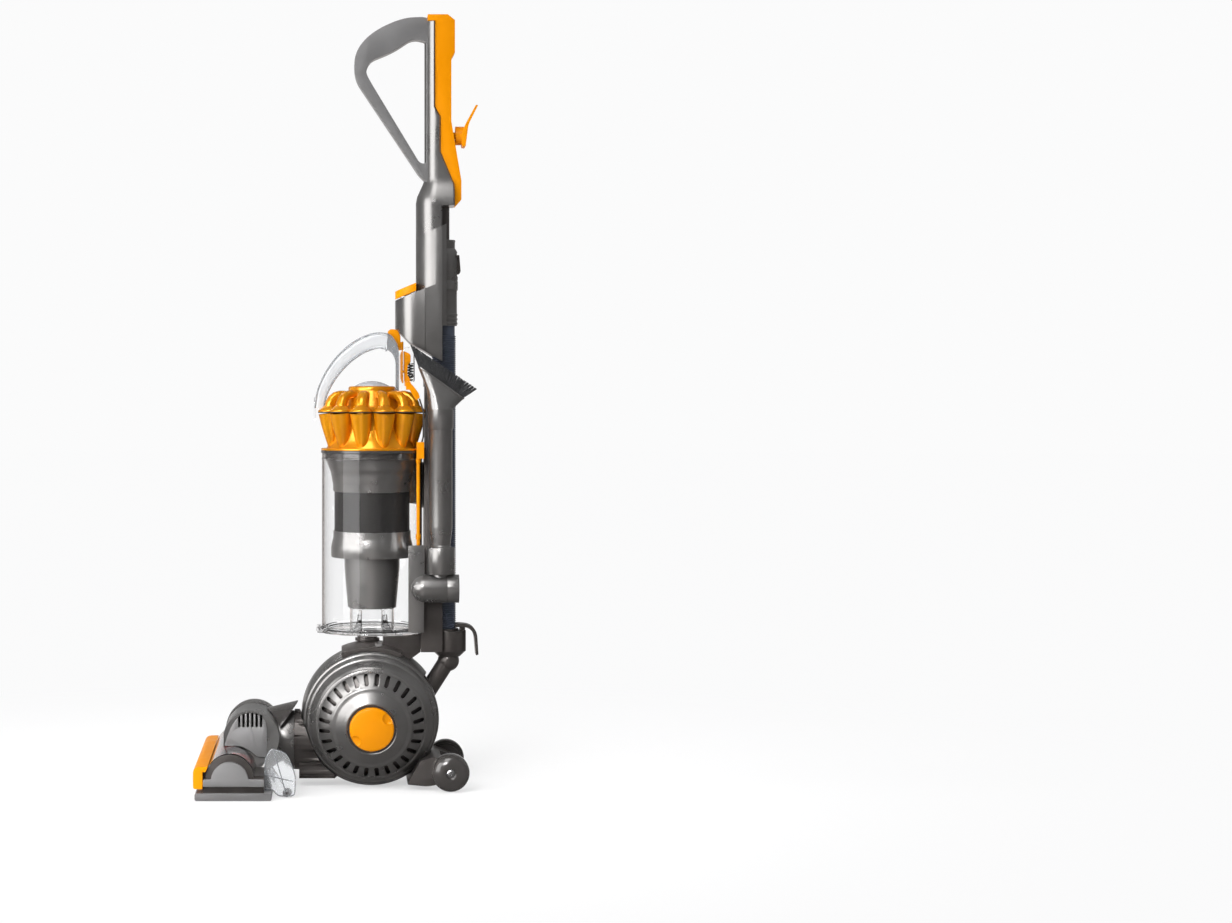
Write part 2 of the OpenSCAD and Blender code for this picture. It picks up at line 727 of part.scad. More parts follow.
module hose_socket() {
    cup_r = 23.5;
    color(dark) difference() {
        union() {
            translate([0, socket_y, socket_z]) cylinder(r = cup_r, h = 28);
            translate([0, socket_y, socket_z - 8]) cylinder(r1 = 15, r2 = cup_r, h = 8.01);
            translate([0, socket_y - 1, socket_z - 14]) sphere(r = 15);
            translate([0, socket_y - 2.5, socket_z - 14]) rotate([147.5, 0, 0]) cylinder(r = socket_duct_r, h = 52);
        }
        translate([0, hose_y, hose_low - 0.3]) cylinder(r = hose_r + 0.3, h = 60);
        at_ball() rod_x(core_r + 0.2, 60);
    }
    color(silver) difference() {
        translate([0, hose_y, 214]) cylinder(r = hose_r + 3.5, h = 3);
        translate([0, hose_y, 213]) cylinder(r = hose_r + 0.3, h = 5);
        span([-40, 100, 200], [40, 144.4, 260]);
    }
}

module lower_hook() color(dark) difference() {
    union() {
        span([-10, 169, socket_z + 28], [10, 176.5, 221]);
        side_profile(28) polygon(rounded([[146, 217.4, 1], [165, 225, 6], [184, 223, 8], [193, 213, 8], [195, 181, 1],
        [191.5, 180, 1], [189, 210, 8], [181, 219, 6], [167, 220, 5], [146, 214.6, 1]]));
    }
    translate([0, hose_y, 200]) cylinder(r = hose_r + 4, h = 60);
}

module hose() {
    rib_h = 1.5;
    ribs = floor((cuff_z - hose_low) / rib_pitch) - 12;
    straight = (cuff_z + 1 - hose_low - ribs * rib_pitch) / 2;
    color([0.2, 0.22, 0.27]) translate([0, hose_y, hose_low]) rotate_extrude() polygon(concat(
        [[hose_bore_r, 0], [hose_r - rib_h, 0]],
        [for (k = [0 : ribs - 1]) each [[hose_r - rib_h, straight + k * rib_pitch],
            [hose_r, straight + (k + 0.5) * rib_pitch]]],
        [[hose_r - rib_h, straight + ribs * rib_pitch], [hose_r - rib_h, cuff_z + 1 - hose_low],
            [hose_bore_r, cuff_z + 1 - hose_low]]));
}

module cuff() {
    color(iron) difference() {
        union() {
            translate([0, hose_y, cuff_z + 1]) cylinder(r = 19, h = 52);
            for (k = [0 : 2]) translate([0, hose_y, cuff_z + 3 + 6 * k]) cylinder(r = 19.6, h = 3);
            translate([0, hose_y, 690]) cylinder(r = cuff_r, h = 55);
            translate([0, hose_y - 1, 744]) cylinder(r = 16, h = cuff_top - 744);
        }
        translate([0, wand_y, 690]) cylinder(r = wand_r + fit_run, h = 80);
        translate([0, hose_y, cuff_z]) cylinder(r = hose_bore_r, h = 52);
        span([-7, hose_y + 13.5, 709], [7, 180, 742]);
        translate([0, hose_y + cuff_r - 1.6, 737]) rod_x(lever_pin_r + fit_run, 26);
    }
}

module cuff_lever() color(dark) {
    translate([0, hose_y + cuff_r - 1.6, 737]) rod_x(lever_pin_r, 24);
    side_profile(13) polygon(rounded([[165, 739, 1], [165, 712, 1], [168.4, 712, 2], [170.5, 716, 2], [168.6, 739, 1]]));
}

module wand_tube() color(silver) translate([0, wand_y, 692]) difference() {
    cylinder(r = wand_r, h = 114.5);
    translate([0, 0, -1]) cylinder(r = wand_r - 1.6, h = 120);
}

module handle() {
    wide = column_r;
    narrow = handle_w / 2;
    flare_low = 811;
    flare_high = 845;
    outer = rounded([[122, grip_top, 2], [88, grip_top - 2, 30], [44, 1049, 22], [21, 1022, 22], [22, 986, 12],
        [114, 845, 4], [124, 838, 2]]);
    inner = rounded([[122, 1037, 3], [103, 1041, 8], [76, 1022, 12], [44, 1010, 6], [37, 995, 8], [44, 982, 6],
        [114, 866, 5], [122, 862, 3]]);
    color(iron) {
        difference() {
            intersection() {
                side_profile(100) polygon([[107, seam_front], [144, seam_back], [144, 807], [161, 807], [161, 837],
                    [142, 882], [142, 931], [134, 945], [134, 1065], [120, 1065], [120, 841], [107, 811]]);
                union() {
                    linear_extrude(flare_low) column_plan(column_front, 170);
                    translate([0, column_front + column_r, flare_low - 0.01])
                        cylinder(r1 = wide, r2 = narrow, h = flare_high - flare_low + 0.02);
                    translate([0, 0, flare_low - 0.01]) rotate([90, 0, 0]) translate([0, 0, -170])
                        linear_extrude(170 - column_front - column_r)
                            polygon([[-wide, 0], [wide, 0], [narrow, flare_high - flare_low + 0.02],
                                [-narrow, flare_high - flare_low + 0.02]]);
                    translate([0, 0, flare_high]) linear_extrude(big) {
                        translate([0, 120 + narrow]) circle(r = narrow);
                        translate([-narrow, 120 + narrow]) square([handle_w, 40]);
                    }
                }
            }
            translate([0, wand_y, seam_front - 10]) cylinder(r = wand_r + 0.02, h = 817 - seam_front);
        }
        side_profile(grip_w) difference() {
            polygon(outer);
            polygon(inner);
        }
    }
}

hook_z = 906;
hook_pin_r = 5;

module handle_cover() color(yellow) difference() {
    side_profile(34) polygon([[134.3, 945.2], [134.3, 1065.3], [124, 1065.3], [124, grip_top + 2], [152, grip_top + 2],
        [162, 1066], [162, 1021], [157, 1012], [157, 925], [171, 842], [171, 816], [163, 807], [161.3, 807],
        [161.3, 837.2], [142.3, 882.2], [142.3, 931.2]]);
    translate([0, 0, hook_z]) rotate([-90, 0, 0]) cylinder(r = hook_pin_r + fit_run, h = 190);
    span([-grip_w / 2 - 0.2, 100, 1060], [grip_w / 2 + 0.2, 124.3, 1090]);
}

module cable_hook() color(yellow) {
    translate([0, 150, hook_z]) rotate([-90, 0, 0]) cylinder(r = hook_pin_r, h = 20);
    translate([0, 163, hook_z]) rotate([-90, 0, 0]) cylinder(r = 13, h = 12);
    intersection() {
        side_profile(60) polygon(rounded([[172, 890, 2], [177, 890, 1], [181, 921, 6], [194.5, 948, 1], [191.5, 948.5, 1],
            [177, 922, 6], [171, 908, 2]]));
        translate([0, 150, 912]) rotate([-90, 0, 0]) cylinder(r = 38, h = 60);
        span([-15, 100, 800], [15, 220, 1000]);
    }
}

module tool_holder() color(iron) difference() {
    union() {
        translate([tool_x, 118, holder_z]) rotate([-90, 0, 0]) cylinder(r = holder_r, h = 48);
        translate([tool_x, 118, holder_z]) sphere(r = holder_r);
        translate([tool_x, tool_y, holder_z + 10]) cylinder(r = spigot_r, h = 40);
    }
    translate([tool_x, 149, holder_z]) rotate([-90, 0, 0]) difference() {
        cylinder(r = holder_r + 1, h = 1);
        cylinder(r = holder_r - 0.8, h = 1);
    }
    span([0, 60, 200], [52.6, 118, 400]);
}

module combination_tool() {
    color(iron) difference() {
        union() {
            translate([tool_x, tool_y, 295.3]) cylinder(r = holder_r, h = 37);
            translate([tool_x, tool_y, 332]) cylinder(r1 = tool_r - 3, r2 = tool_r, h = 28);
            translate([tool_x, tool_y, 360]) cylinder(r = tool_r, h = 136);
            translate([tool_x, tool_y, 496]) cylinder(r = tool_r + 1.5, h = 28);
            translate([tool_x, tool_y, 523]) cylinder(r1 = tool_r + 1, r2 = 10.5, h = 24);
            side_profile_at(tool_x - 16, tool_x + 6) polygon(rounded([[122, 546, 3], [108, 578, 2], [110, 584, 1],
                [174.5, 539, 1], [172.5, 534, 2], [158, 524, 4]]));
        }
        translate([tool_x, tool_y, 290]) cylinder(r = spigot_r + fit_run, h = 36.5);
        translate([tool_x, tool_y, 320]) cylinder(r = tool_r - 3.6, h = 190);
    }
}

// As side_profile, between two places along X
module side_profile_at(from, to) translate([(from + to) / 2, 0, 0]) side_profile(to - from) children();

module tool_bristles() color([0.08, 0.08, 0.09]) side_profile_at(tool_x - 14, tool_x + 4) polygon([
    [111, 583.55], [98, 615], [100, 618], [191, 555], [193, 550], [173.5, 539.94]]);

// ---------- Dust bin and cyclones ----------
ring_z = bin_top;
cone_z = bin_top + 6.4;                 // foot of the cones
cone_lean = asin((cyclone_ring_r - cyclone_foot_r - 50.6) / cyclone_h);
hub_foot_r = 37.5;
hub_top_r = 31.3;
deck_z = cone_z + cyclone_h - 1;
hub_top = bin_top + 88;
cap_rim_h = 5;
dome_h = 8;
port_from = 157;                        // inlet port, as an angle round the bin from +X
port_to = 168;
rod_x_pos = 40;
rod_y_pos = 110;
rod_r = 2.5;
base_t = 2.6;
base_gap = 1.2;                         // round the base's ring, so that it can swing out
hinge_r = 3;
hinge_y = bin_y - bin_r - 3.6;
handle_half = 14;

module at_bin(z = 0) translate([0, bin_y, z]) children();

// A ring wall between two radii and two heights
module ring_wall(r_in, r_out, low, high) at_bin(low) difference() {
    cylinder(r = r_out, h = high - low);
    translate([0, 0, -1]) cylinder(r = r_in, h = high - low + 2);
}

module bin_shell() {
    color(clear) difference() {
        union() {
            ring_wall(bin_r - bin_wall, bin_r, bin_z, bin_top);
            ring_wall(bin_r - bin_wall, bin_r + 1, bin_z, bin_z + 4);
            for (side = [-1, 1]) translate([side * 22, hinge_y, bin_z + hinge_r + 0.4]) rod_x(hinge_r, 12);
            for (side = [-1, 1]) span([side * 22 - 6, hinge_y, bin_z + 1], [side * 22 + 6, bin_y - bin_r + 6, bin_z + 6]);
        }
        at_bin(bin_z - 1) cylinder(r = bin_r - bin_wall, h = 30);
        at_bin(392) rotate([0, 0, port_from]) rotate_extrude(angle = port_to - port_from)
            translate([bin_r - 10, 0]) square([20, 50]);
        span([-16, hinge_y - 6, bin_z - 1], [16, bin_y - bin_r, bin_z + 8]);
        translate([0, hinge_y, bin_z + hinge_r + 0.4]) rod_x(1.5 + fit_run, 80);
    }
}

module bin_base() {
    color(clear) difference() {
        union() {
            at_bin(bin_z - 2.8) cylinder(r = bin_r, h = base_t);
            ring_wall(bin_r - bin_wall - 3.6, bin_r - bin_wall - base_gap, bin_z - 1, bin_z + 6);
            ring_wall(cone_foot_r - 6, cone_foot_r - 3, bin_z - 1, bin_z + 30.5);
            for (k = [0 : 5]) at_bin(bin_z - 1) rotate([0, 0, 30 + 60 * k]) difference() {
                translate([cone_foot_r - 4, -1, 0]) cube([30, 2, 24]);
                translate([cone_foot_r + 28, 2, 26]) rotate([90, 0, 0]) cylinder(r = 22, h = 4);
            }
            translate([0, hinge_y, bin_z + hinge_r + 0.4]) rod_x(hinge_r, 31);
            span([-15, hinge_y - 2.8, bin_z - 2.8], [15, bin_y - bin_r + 4, bin_z - 0.2]);
            span([-15, hinge_y - 3, bin_z - 1], [15, hinge_y - 0.8, bin_z + 3]);
        }
        translate([0, hinge_y, bin_z + hinge_r + 0.4]) rod_x(1.5 + fit_run, 80);
    }
    color(silver) translate([0, hinge_y, bin_z + hinge_r + 0.4]) rod_x(1.5, 54);
}

module rod_guide() {
    top = 335;
    low = bin_z + 1;
    color(iron) difference() {
        span([34, 96, low], [52, 117.6, top]);
        at_bin(low - 1) cylinder(r = bin_r + 0.02, h = top);
        at_bin(low - 1) cylinder(r = bin_r + 1.02, h = 4.2);
        translate([rod_x_pos, rod_y_pos, low + 3]) cylinder(r = rod_r + fit_gap, h = top);
    }
}

module inlet_seal() color([0.07, 0.07, 0.07]) at_bin(387) rotate([0, 0, port_from - 1.5]) difference() {
    rotate_extrude(angle = port_to - port_from + 3) translate([bin_r + 0.05, 0]) square([2.8, 61]);
    rotate([0, 0, 3]) translate([0, 0, 6]) rotate_extrude(angle = port_to - port_from - 3)
        translate([bin_r - 5, 0]) square([20, 49]);
}

module outlet_ring() {
    slots = 24;
    color(dark) difference() {
        union() {
            ring_wall(62, bin_r + 1.4, ring_z + 0.2, ring_z + 4);
            ring_wall(66.2, bin_r - bin_wall - 0.3, ring_z - 8, ring_z + 1);
        }
        for (k = [0 : slots - 1]) at_bin(ring_z + 1.2) rotate([0, 0, 360 / slots * (k + 0.5)])
            translate([bin_r - 1, -4, 0]) cube([8, 8, 1.8]);
    }
}

module shroud() {
    foot_r = mesh_r + 4.4;
    back_r = mesh_r - 2.4;              // outside of the cage behind the mesh
    wall = 2;
    windows = 12;
    color(iron) difference() {
        at_bin(0) rotate_extrude() polygon([
            [66, 457], [66, 453.8], [mesh_r + 1.6, 417], [mesh_r + 1.6, 407], [back_r, 407], [back_r, 352],
            [mesh_r + 1, 352], [mesh_r + 1, 340], [foot_r, 330], [foot_r, 316], [foot_r - wall, 316],
            [back_r - wall, 340], [back_r - wall, 417], [63.4, 453.8], [63.4, 457]]);
        for (k = [0 : windows - 1]) at_bin(357) rotate([0, 0, 360 / windows * k]) translate([back_r - 12, -8, 0])
            cube([20, 16, 45]);
    }
}

module mesh() color([0.25, 0.25, 0.25]) difference() {
    ring_wall(mesh_r - 1.4, mesh_r, 352.3, 406.7);
    for (row = [0 : mesh_rows - 1]) for (k = [0 : mesh_cols - 1])
        at_bin(352.3 + 54.4 / mesh_rows * (row + 0.18)) rotate([0, 0, 360 / mesh_cols * k])
            translate([mesh_r - 8, -4, 0]) cube([16, 8, 54.4 / mesh_rows * 0.64]);
}

module inner_cone() {
    wall = 2;
    color(dark) at_bin(0) rotate_extrude() polygon([
        [62.8, 457.5], [62.8, 454.4], [mesh_r - 5, 416], [mesh_r - 5, 400], [cone_foot_r + 5, 330],
        [cone_foot_r + 5, 316], [cone_foot_r, 245], [cone_foot_r - wall, 245],
        [cone_foot_r + 5 - wall, 316], [cone_foot_r + 5 - wall, 330], [mesh_r - 5 - wall, 400],
        [mesh_r - 5 - wall, 416], [60.4, 454.4], [60.4, 457.5]]);
}

foot_ring = cyclone_ring_r - cyclone_h * tan(cone_lean);

// The cyclones' domed tops and their outlet fingers, thicker by grow
module cyclone_tops(grow) for (k = [0 : cyclone_count - 1])
    at_bin(cone_z) rotate([0, 0, 360 / cyclone_count * (k + 0.5)]) {
        translate([foot_ring, 0, 0]) rotate([0, cone_lean, 0]) translate([0, 0, cyclone_h])
            sphere(r = cyclone_top_r + grow);
        translate([cyclone_ring_r - 4, 0, cyclone_h + 4]) rotate([0, -58, 0]) cylinder(r = 8 + grow, h = 28);
    }

module cyclones() {
    wall = 1.8;
    flange_r = bin_r + 1.4;
    pitch = 360 / cyclone_count;
    color(amber) difference() {
        union() {
            ring_wall(44, flange_r, ring_z + 4.2, cone_z + 0.6);
            ring_wall(44, 46, cone_z, deck_z + 2);
            ring_wall(30, cyclone_ring_r, deck_z - 1, deck_z + 2);
            at_bin(deck_z) cylinder(r1 = hub_foot_r, r2 = hub_top_r, h = hub_top - deck_z);
            cyclone_tops(0);
            for (k = [0 : cyclone_count - 1]) at_bin(cone_z) rotate([0, 0, pitch * (k + 0.5)])
                translate([foot_ring, 0, 0]) rotate([0, cone_lean, 0])
                    cylinder(r1 = cyclone_foot_r, r2 = cyclone_top_r, h = cyclone_h);
        }
        for (k = [0 : cyclone_count - 1]) at_bin(cone_z) rotate([0, 0, pitch * (k + 0.5)])
            translate([foot_ring, 0, 0]) rotate([0, cone_lean, 0]) {
                translate([0, 0, -3]) cylinder(r = cyclone_foot_r - wall, h = 5);
                cylinder(r1 = cyclone_foot_r - wall, r2 = cyclone_top_r - wall, h = cyclone_h - 1);
            }
        at_bin(deck_z - 5) cylinder(r = 28, h = 80);
    }
}

module cyclone_cap() color([0.85, 0.86, 0.86]) at_bin(0) {
    ball = (dome_r * dome_r + dome_h * dome_h) / (2 * dome_h);
    difference() {
        union() {
            translate([0, 0, hub_top + 0.2]) cylinder(r = hub_top_r + 1, h = cap_rim_h);
            intersection() {
                translate([0, 0, hub_top + cap_rim_h + dome_h - ball]) sphere(r = ball);
                translate([0, 0, hub_top]) cylinder(r = dome_r, h = 40);
            }
            translate([0, 0, hub_top - 8]) cylinder(r = 27.7, h = 9);
        }
        translate([0, 0, hub_top - 9]) cylinder(r = 25.5, h = 12);
    }
}

module bin_handle() {
    bracket_half = 24;
    low = cone_z + cyclone_h + cyclone_top_r + 0.8;
    color(clear) difference() {
        union() {
            side_profile(2 * handle_half) polygon(rounded([[-34, low + 1, 1], [-24, 556, 10], [2, 601, 16], [40, 629, 20],
                [76, 634, 6], [102, 610, 2], [102, low, 0.5], [84, low, 0.5], [84, 590, 8], [68, 607, 8], [38, 602, 16], [10, 580, 12],
                [-8, 553, 8], [-15, low + 1, 1]]));
            side_profile(2 * bracket_half) polygon([[84, low], [84, 612], [100, 612], [106, 606], [106, low]]);
            span([-12, -35, 508], [12, -31.6, low + 3]);
            translate([0, -35, 508]) rotate([-90, 0, 0]) cylinder(r = 12, h = 3.4);
        }
        span([-bracket_half + 2.4, 87, low - 1], [bracket_half - 2.4, 110, 609]);
        span([-10.5, 68, 604], [10.5, 87.5, 640]);
        span([-10.5, 79, 590], [10.5, 91.2, 640]);
        span([bracket_half - 4, 86, low - 1], [bracket_half + 2, 108, 561]);
        cyclone_tops(0.4);
    }
}

trigger_travel = 6;

module trigger() color(yellow) {
    side_profile(20) polygon(rounded([[69, 616, 2], [69, 630, 3], [73, 638, 3], [78.4, 633, 2], [86.5, 622, 2], [86.5, 606, 1],
        [84, 606, 1], [80, 614, 2]]));
    span([-9, 88.2, 560], [9, 90.6, 618]);
    span([-9, 85, 606], [9, 90.6, 618]);
}

module release_rod() {
    bridge_z = 550;
    color(yellow) {
        translate([rod_x_pos, rod_y_pos, bin_z + 12]) cylinder(r = rod_r, h = bridge_z - bin_z - 10);
        span([rod_x_pos - 4, rod_y_pos - 1, 455], [rod_x_pos + 8, rod_y_pos + 8, 478]);
        span([-8, 92, bridge_z + 6], [-4, 100, 606]);
        span([4, 92, bridge_z + 6], [8, 100, 606]);
        span([-8, 92, bridge_z], [rod_x_pos + 2.5, 100, bridge_z + 8]);
        span([rod_x_pos - 2.5, 96, bridge_z], [rod_x_pos + 2.5, rod_y_pos + 2.4, bridge_z + 8]);
    }
}

soleplate();
brush_housing();
end_caps();
brush_cover();
bumper();
motor_housing();
neck_shroud();
neck_tube();
brush_motor();
drive_belt();
rear_legs();
brush_bar();
black_bristles();
red_bristles();
front_rollers();
rear_rollers();
yoke();
ball_core();
centre_band();
shell_bearings();
ball_shell_right();
ball_shell_left();
filter_cap();
post_filter();
motor_can();
impeller();
stand_frame();
stand_wheel_right();
stand_wheel_left();
spine();
upper_housing();
hose_socket();
lower_hook();
bin_seat();
bin_shell();
bin_base();
rod_guide();
inlet_seal();
outlet_ring();
shroud();
mesh();
inner_cone();
cyclones();
cyclone_cap();
bin_handle();
trigger();
release_rod();
handle();
handle_cover();
cable_hook();
wand_tube();
power_button();
brush_button();
cuff();
cuff_lever();
hose();
combination_tool();
tool_bristles();
tool_holder();
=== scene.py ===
"""Looks for an upright vacuum cleaner on a rolling ball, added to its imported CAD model.

All places are in the model's own frame: the head points to -Y, the right side is +X and +Z is up.
Sizes in this file are millimetres, and MM turns them into Blender's metres.
"""
from __future__ import annotations

import json
import logging
import math
import random
from dataclasses import dataclass
from enum import Enum
from typing import Callable, Sequence

import bmesh
import bpy
from mathutils import Matrix, Vector

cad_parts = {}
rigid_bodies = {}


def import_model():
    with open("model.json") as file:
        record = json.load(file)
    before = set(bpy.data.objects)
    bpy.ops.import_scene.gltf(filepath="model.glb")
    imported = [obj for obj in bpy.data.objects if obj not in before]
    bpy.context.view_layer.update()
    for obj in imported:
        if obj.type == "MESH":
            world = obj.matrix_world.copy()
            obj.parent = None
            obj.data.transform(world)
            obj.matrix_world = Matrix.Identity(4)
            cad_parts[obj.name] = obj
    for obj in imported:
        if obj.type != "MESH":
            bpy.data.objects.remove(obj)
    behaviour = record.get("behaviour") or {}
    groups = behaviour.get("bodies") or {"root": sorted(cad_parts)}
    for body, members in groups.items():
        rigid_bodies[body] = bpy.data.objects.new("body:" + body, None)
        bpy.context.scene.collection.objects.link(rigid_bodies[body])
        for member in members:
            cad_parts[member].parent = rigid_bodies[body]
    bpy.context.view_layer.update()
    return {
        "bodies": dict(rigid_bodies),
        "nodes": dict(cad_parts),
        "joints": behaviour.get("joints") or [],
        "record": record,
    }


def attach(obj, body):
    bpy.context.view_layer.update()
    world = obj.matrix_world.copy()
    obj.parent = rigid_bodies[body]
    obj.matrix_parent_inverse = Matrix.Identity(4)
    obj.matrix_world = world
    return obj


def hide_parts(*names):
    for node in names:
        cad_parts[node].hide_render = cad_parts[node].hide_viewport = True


MM = 0.001
LOG = logging.getLogger("vacuum")

Point = tuple[float, float, float]
Flat = tuple[float, float]
Colour = tuple[float, float, float]

# Places that the CAD gives
BALL = Vector((0.0, 45.0, 97.286))
TILT = math.radians(7.0)            # each shell's axle, outer end down
BALL_R = 99.0
SHELL_EDGE = 30.0                   # a shell's inner edge, along its axle
BIN_Y = 46.6
BIN_R = 70.0
BRUSH = Vector((0.0, -146.0, 29.0))
HOSE_Y = 147.0
TOOL = Vector((46.0, 141.0, 0.0))


# ---------------------------------------------------------------- materials
class Kind(Enum):
    """What a finish is made of, which decides its shader."""

    PLASTIC = "plastic"
    CLEAR = "clear"
    TINTED = "tinted"
    METAL = "metal"
    FIBRE = "fibre"
    PLEATED = "pleated"
    MESH = "mesh"


@dataclass(frozen=True)
class Finish:
    """One material of the machine, with the detail that its surface shows.

    milk is the share of light that a clear finish scatters.
    slot is the record's slot, where that isn't the finish's own name.
    """

    name: str
    kind: Kind
    colour: Colour
    second: Colour
    roughness: float
    metallic: float = 0.0
    coat: float = 0.0
    grain_mm: float = 0.5
    grain_depth: float = 0.1
    ior: float = 1.45
    milk: float = 0.0
    slot: str = ""


FINISHES: tuple[Finish, ...] = (
    Finish("iron_satin", Kind.PLASTIC, (0.190, 0.184, 0.180), (0.220, 0.214, 0.209), 0.30, 0.84, 0.12, 0.35,
           0.05),
    Finish("iron_pale", Kind.PLASTIC, (0.185, 0.182, 0.183), (0.205, 0.202, 0.203), 0.40, 0.40, 0.12, 0.35,
           0.05,
           slot="iron_satin"),
    Finish("dark_plastic", Kind.PLASTIC, (0.060, 0.053, 0.050), (0.082, 0.074, 0.070), 0.34, 0.6, 0.1, 0.45,
           0.08),
    Finish("gloss_dark", Kind.PLASTIC, (0.040, 0.037, 0.035), (0.055, 0.050, 0.048), 0.16, 0.2, 0.5, 0.6,
           0.02),
    Finish("yellow_gloss", Kind.PLASTIC, (0.670, 0.228, 0.0004), (0.695, 0.242, 0.0008), 0.36, 0.0, 0.04, 0.6,
           0.02,
           1.18),
    # yellow_cap is yellow_gloss made darker: painted shade on the filter cap, which is the same yellow
    # plastic.
    Finish("yellow_cap", Kind.PLASTIC, (0.560, 0.192, 0.0004), (0.585, 0.204, 0.0008), 0.36, 0.0, 0.04, 0.6,
           0.02,
           1.18, slot="yellow_gloss"),
    Finish("amber_clear", Kind.TINTED, (0.800, 0.325, 0.003), (0.660, 0.240, 0.002), 0.22, 0.55, 0.3, 0.8,
           0.02),
    Finish("clear_beam", Kind.CLEAR, (0.700, 0.712, 0.725), (0.780, 0.800, 0.820), 0.08, 0.0, 0.2, 0.8, 0.01,
           1.5,
           0.35, "clear_plastic"),
    # clear_edge is clear_beam made darker: painted shade for the darkening that clear plastic shows along its
    # edges.
    Finish("clear_edge", Kind.CLEAR, (0.400, 0.415, 0.430), (0.780, 0.800, 0.820), 0.08, 0.0, 0.2, 0.8, 0.01,
           1.5,
           0.35, "clear_plastic"),
    Finish("clear_leg", Kind.CLEAR, (0.780, 0.792, 0.805), (0.780, 0.800, 0.820), 0.06, 0.0, 0.2, 0.8, 0.01,
           1.45,
           0.12, "clear_plastic"),
    Finish("clear_plastic", Kind.CLEAR, (0.997, 0.998, 0.999), (0.780, 0.800, 0.820), 0.03, 0.0, 0.08, 0.8,
           0.01,
           1.26),
    Finish("silver_metal", Kind.METAL, (0.620, 0.620, 0.630), (0.520, 0.520, 0.530), 0.28, 1.0, 0.0, 0.3,
           0.05),
    Finish("steel_mesh", Kind.MESH, (0.040, 0.038, 0.037), (0.008, 0.008, 0.008), 0.38, 0.7, 0.0, 1.1, 0.3),
    Finish("filter_white", Kind.PLEATED, (0.800, 0.800, 0.770), (0.620, 0.620, 0.590), 0.85, 0.0, 0.0, 3.0,
           0.5),
    Finish("dome_pearl", Kind.PLASTIC, (0.430, 0.438, 0.470), (0.490, 0.498, 0.525), 0.22, 0.15, 0.5, 0.7,
           0.02),
    Finish("seal_black", Kind.PLASTIC, (0.012, 0.012, 0.012), (0.020, 0.020, 0.020), 0.62, 0.0, 0.0, 0.3,
           0.15),
    Finish("hose_blue", Kind.PLASTIC, (0.030, 0.036, 0.052), (0.046, 0.054, 0.074), 0.36, 0.0, 0.1, 0.4,
           0.06),
    Finish("bristle_black", Kind.FIBRE, (0.005, 0.005, 0.006), (0.030, 0.030, 0.032), 0.60, 0.0, 0.0, 0.3,
           0.1),
    Finish("bristle_red", Kind.FIBRE, (0.520, 0.020, 0.015), (0.350, 0.010, 0.010), 0.50, 0.0, 0.0, 0.3, 0.1),
)


class Nodes:
    """Adds nodes to one tree and joins them."""

    def __init__(self, tree: bpy.types.NodeTree, out: str) -> None:
        """Empties the tree.

        Args:
            tree: the material's or world's tree.
            out: the kind of its output node.
        """
        self.tree = tree
        self.tree.nodes.clear()
        self.out = self.add(out)

    def add(self, kind: str, **values: object) -> bpy.types.Node:
        """Adds a node.

        Args:
            kind: the node's type.
            values: values of its sockets, or of its properties where it has no such socket.

        Returns:
            The new node.
        """
        node = self.tree.nodes.new(kind)
        for key, value in values.items():
            if key in node.inputs:
                node.inputs[key].default_value = value
            else:
                setattr(node, key, value)
        return node

    def join(self, source: bpy.types.NodeSocket, target: bpy.types.NodeSocket) -> None:
        """Links one socket to another."""
        self.tree.links.new(source, target)

    def ranged(self, source: bpy.types.NodeSocket, start: Flat, end: Flat) -> bpy.types.NodeSocket:
        """Maps a value from the range start to the range end.

        Args:
            source: the value.
            start: its own low and high.
            end: what these become.

        Returns:
            The new value.
        """
        node = self.add("ShaderNodeMapRange", **{"From Min": start[0], "From Max": start[1],
                                                 "To Min": end[0], "To Max": end[1]})
        self.join(source, node.inputs["Value"])
        return node.outputs["Result"]

    def maths(self, operation: str, *terms: bpy.types.NodeSocket | float,
              clamp: bool = False) -> bpy.types.NodeSocket:
        """Works out one sum.

        Args:
            operation: the Math node's operation.
            terms: sockets or plain numbers, in order.
            clamp: whether the result is kept between 0 and 1.

        Returns:
            The result.
        """
        node = self.add("ShaderNodeMath", operation=operation, use_clamp=clamp)
        for place, term in zip(node.inputs, terms):
            if isinstance(term, bpy.types.NodeSocket):
                self.join(term, place)
            else:
                place.default_value = term
        return node.outputs[0]

    def either(self, share: bpy.types.NodeSocket, first: bpy.types.Node,
               second: bpy.types.Node) -> bpy.types.Node:
        """Mixes two shaders.

        Args:
            share: how much of the second there is.
            first: a shader node.
            second: another shader node.

        Returns:
            The mix.
        """
        mix = self.add("ShaderNodeMixShader")
        self.join(share, mix.inputs["Fac"])
        self.join(first.outputs[0], mix.inputs[1])
        self.join(second.outputs[0], mix.inputs[2])
        return mix

    def bounced(self) -> bpy.types.NodeSocket:
        """Gives 0 for what is seen at once or through clear walls, and 1 after any other bounce."""
        path = self.add("ShaderNodeLightPath")
        return self.maths("ADD", path.outputs["Glossy Depth"], path.outputs["Diffuse Depth"], clamp=True)


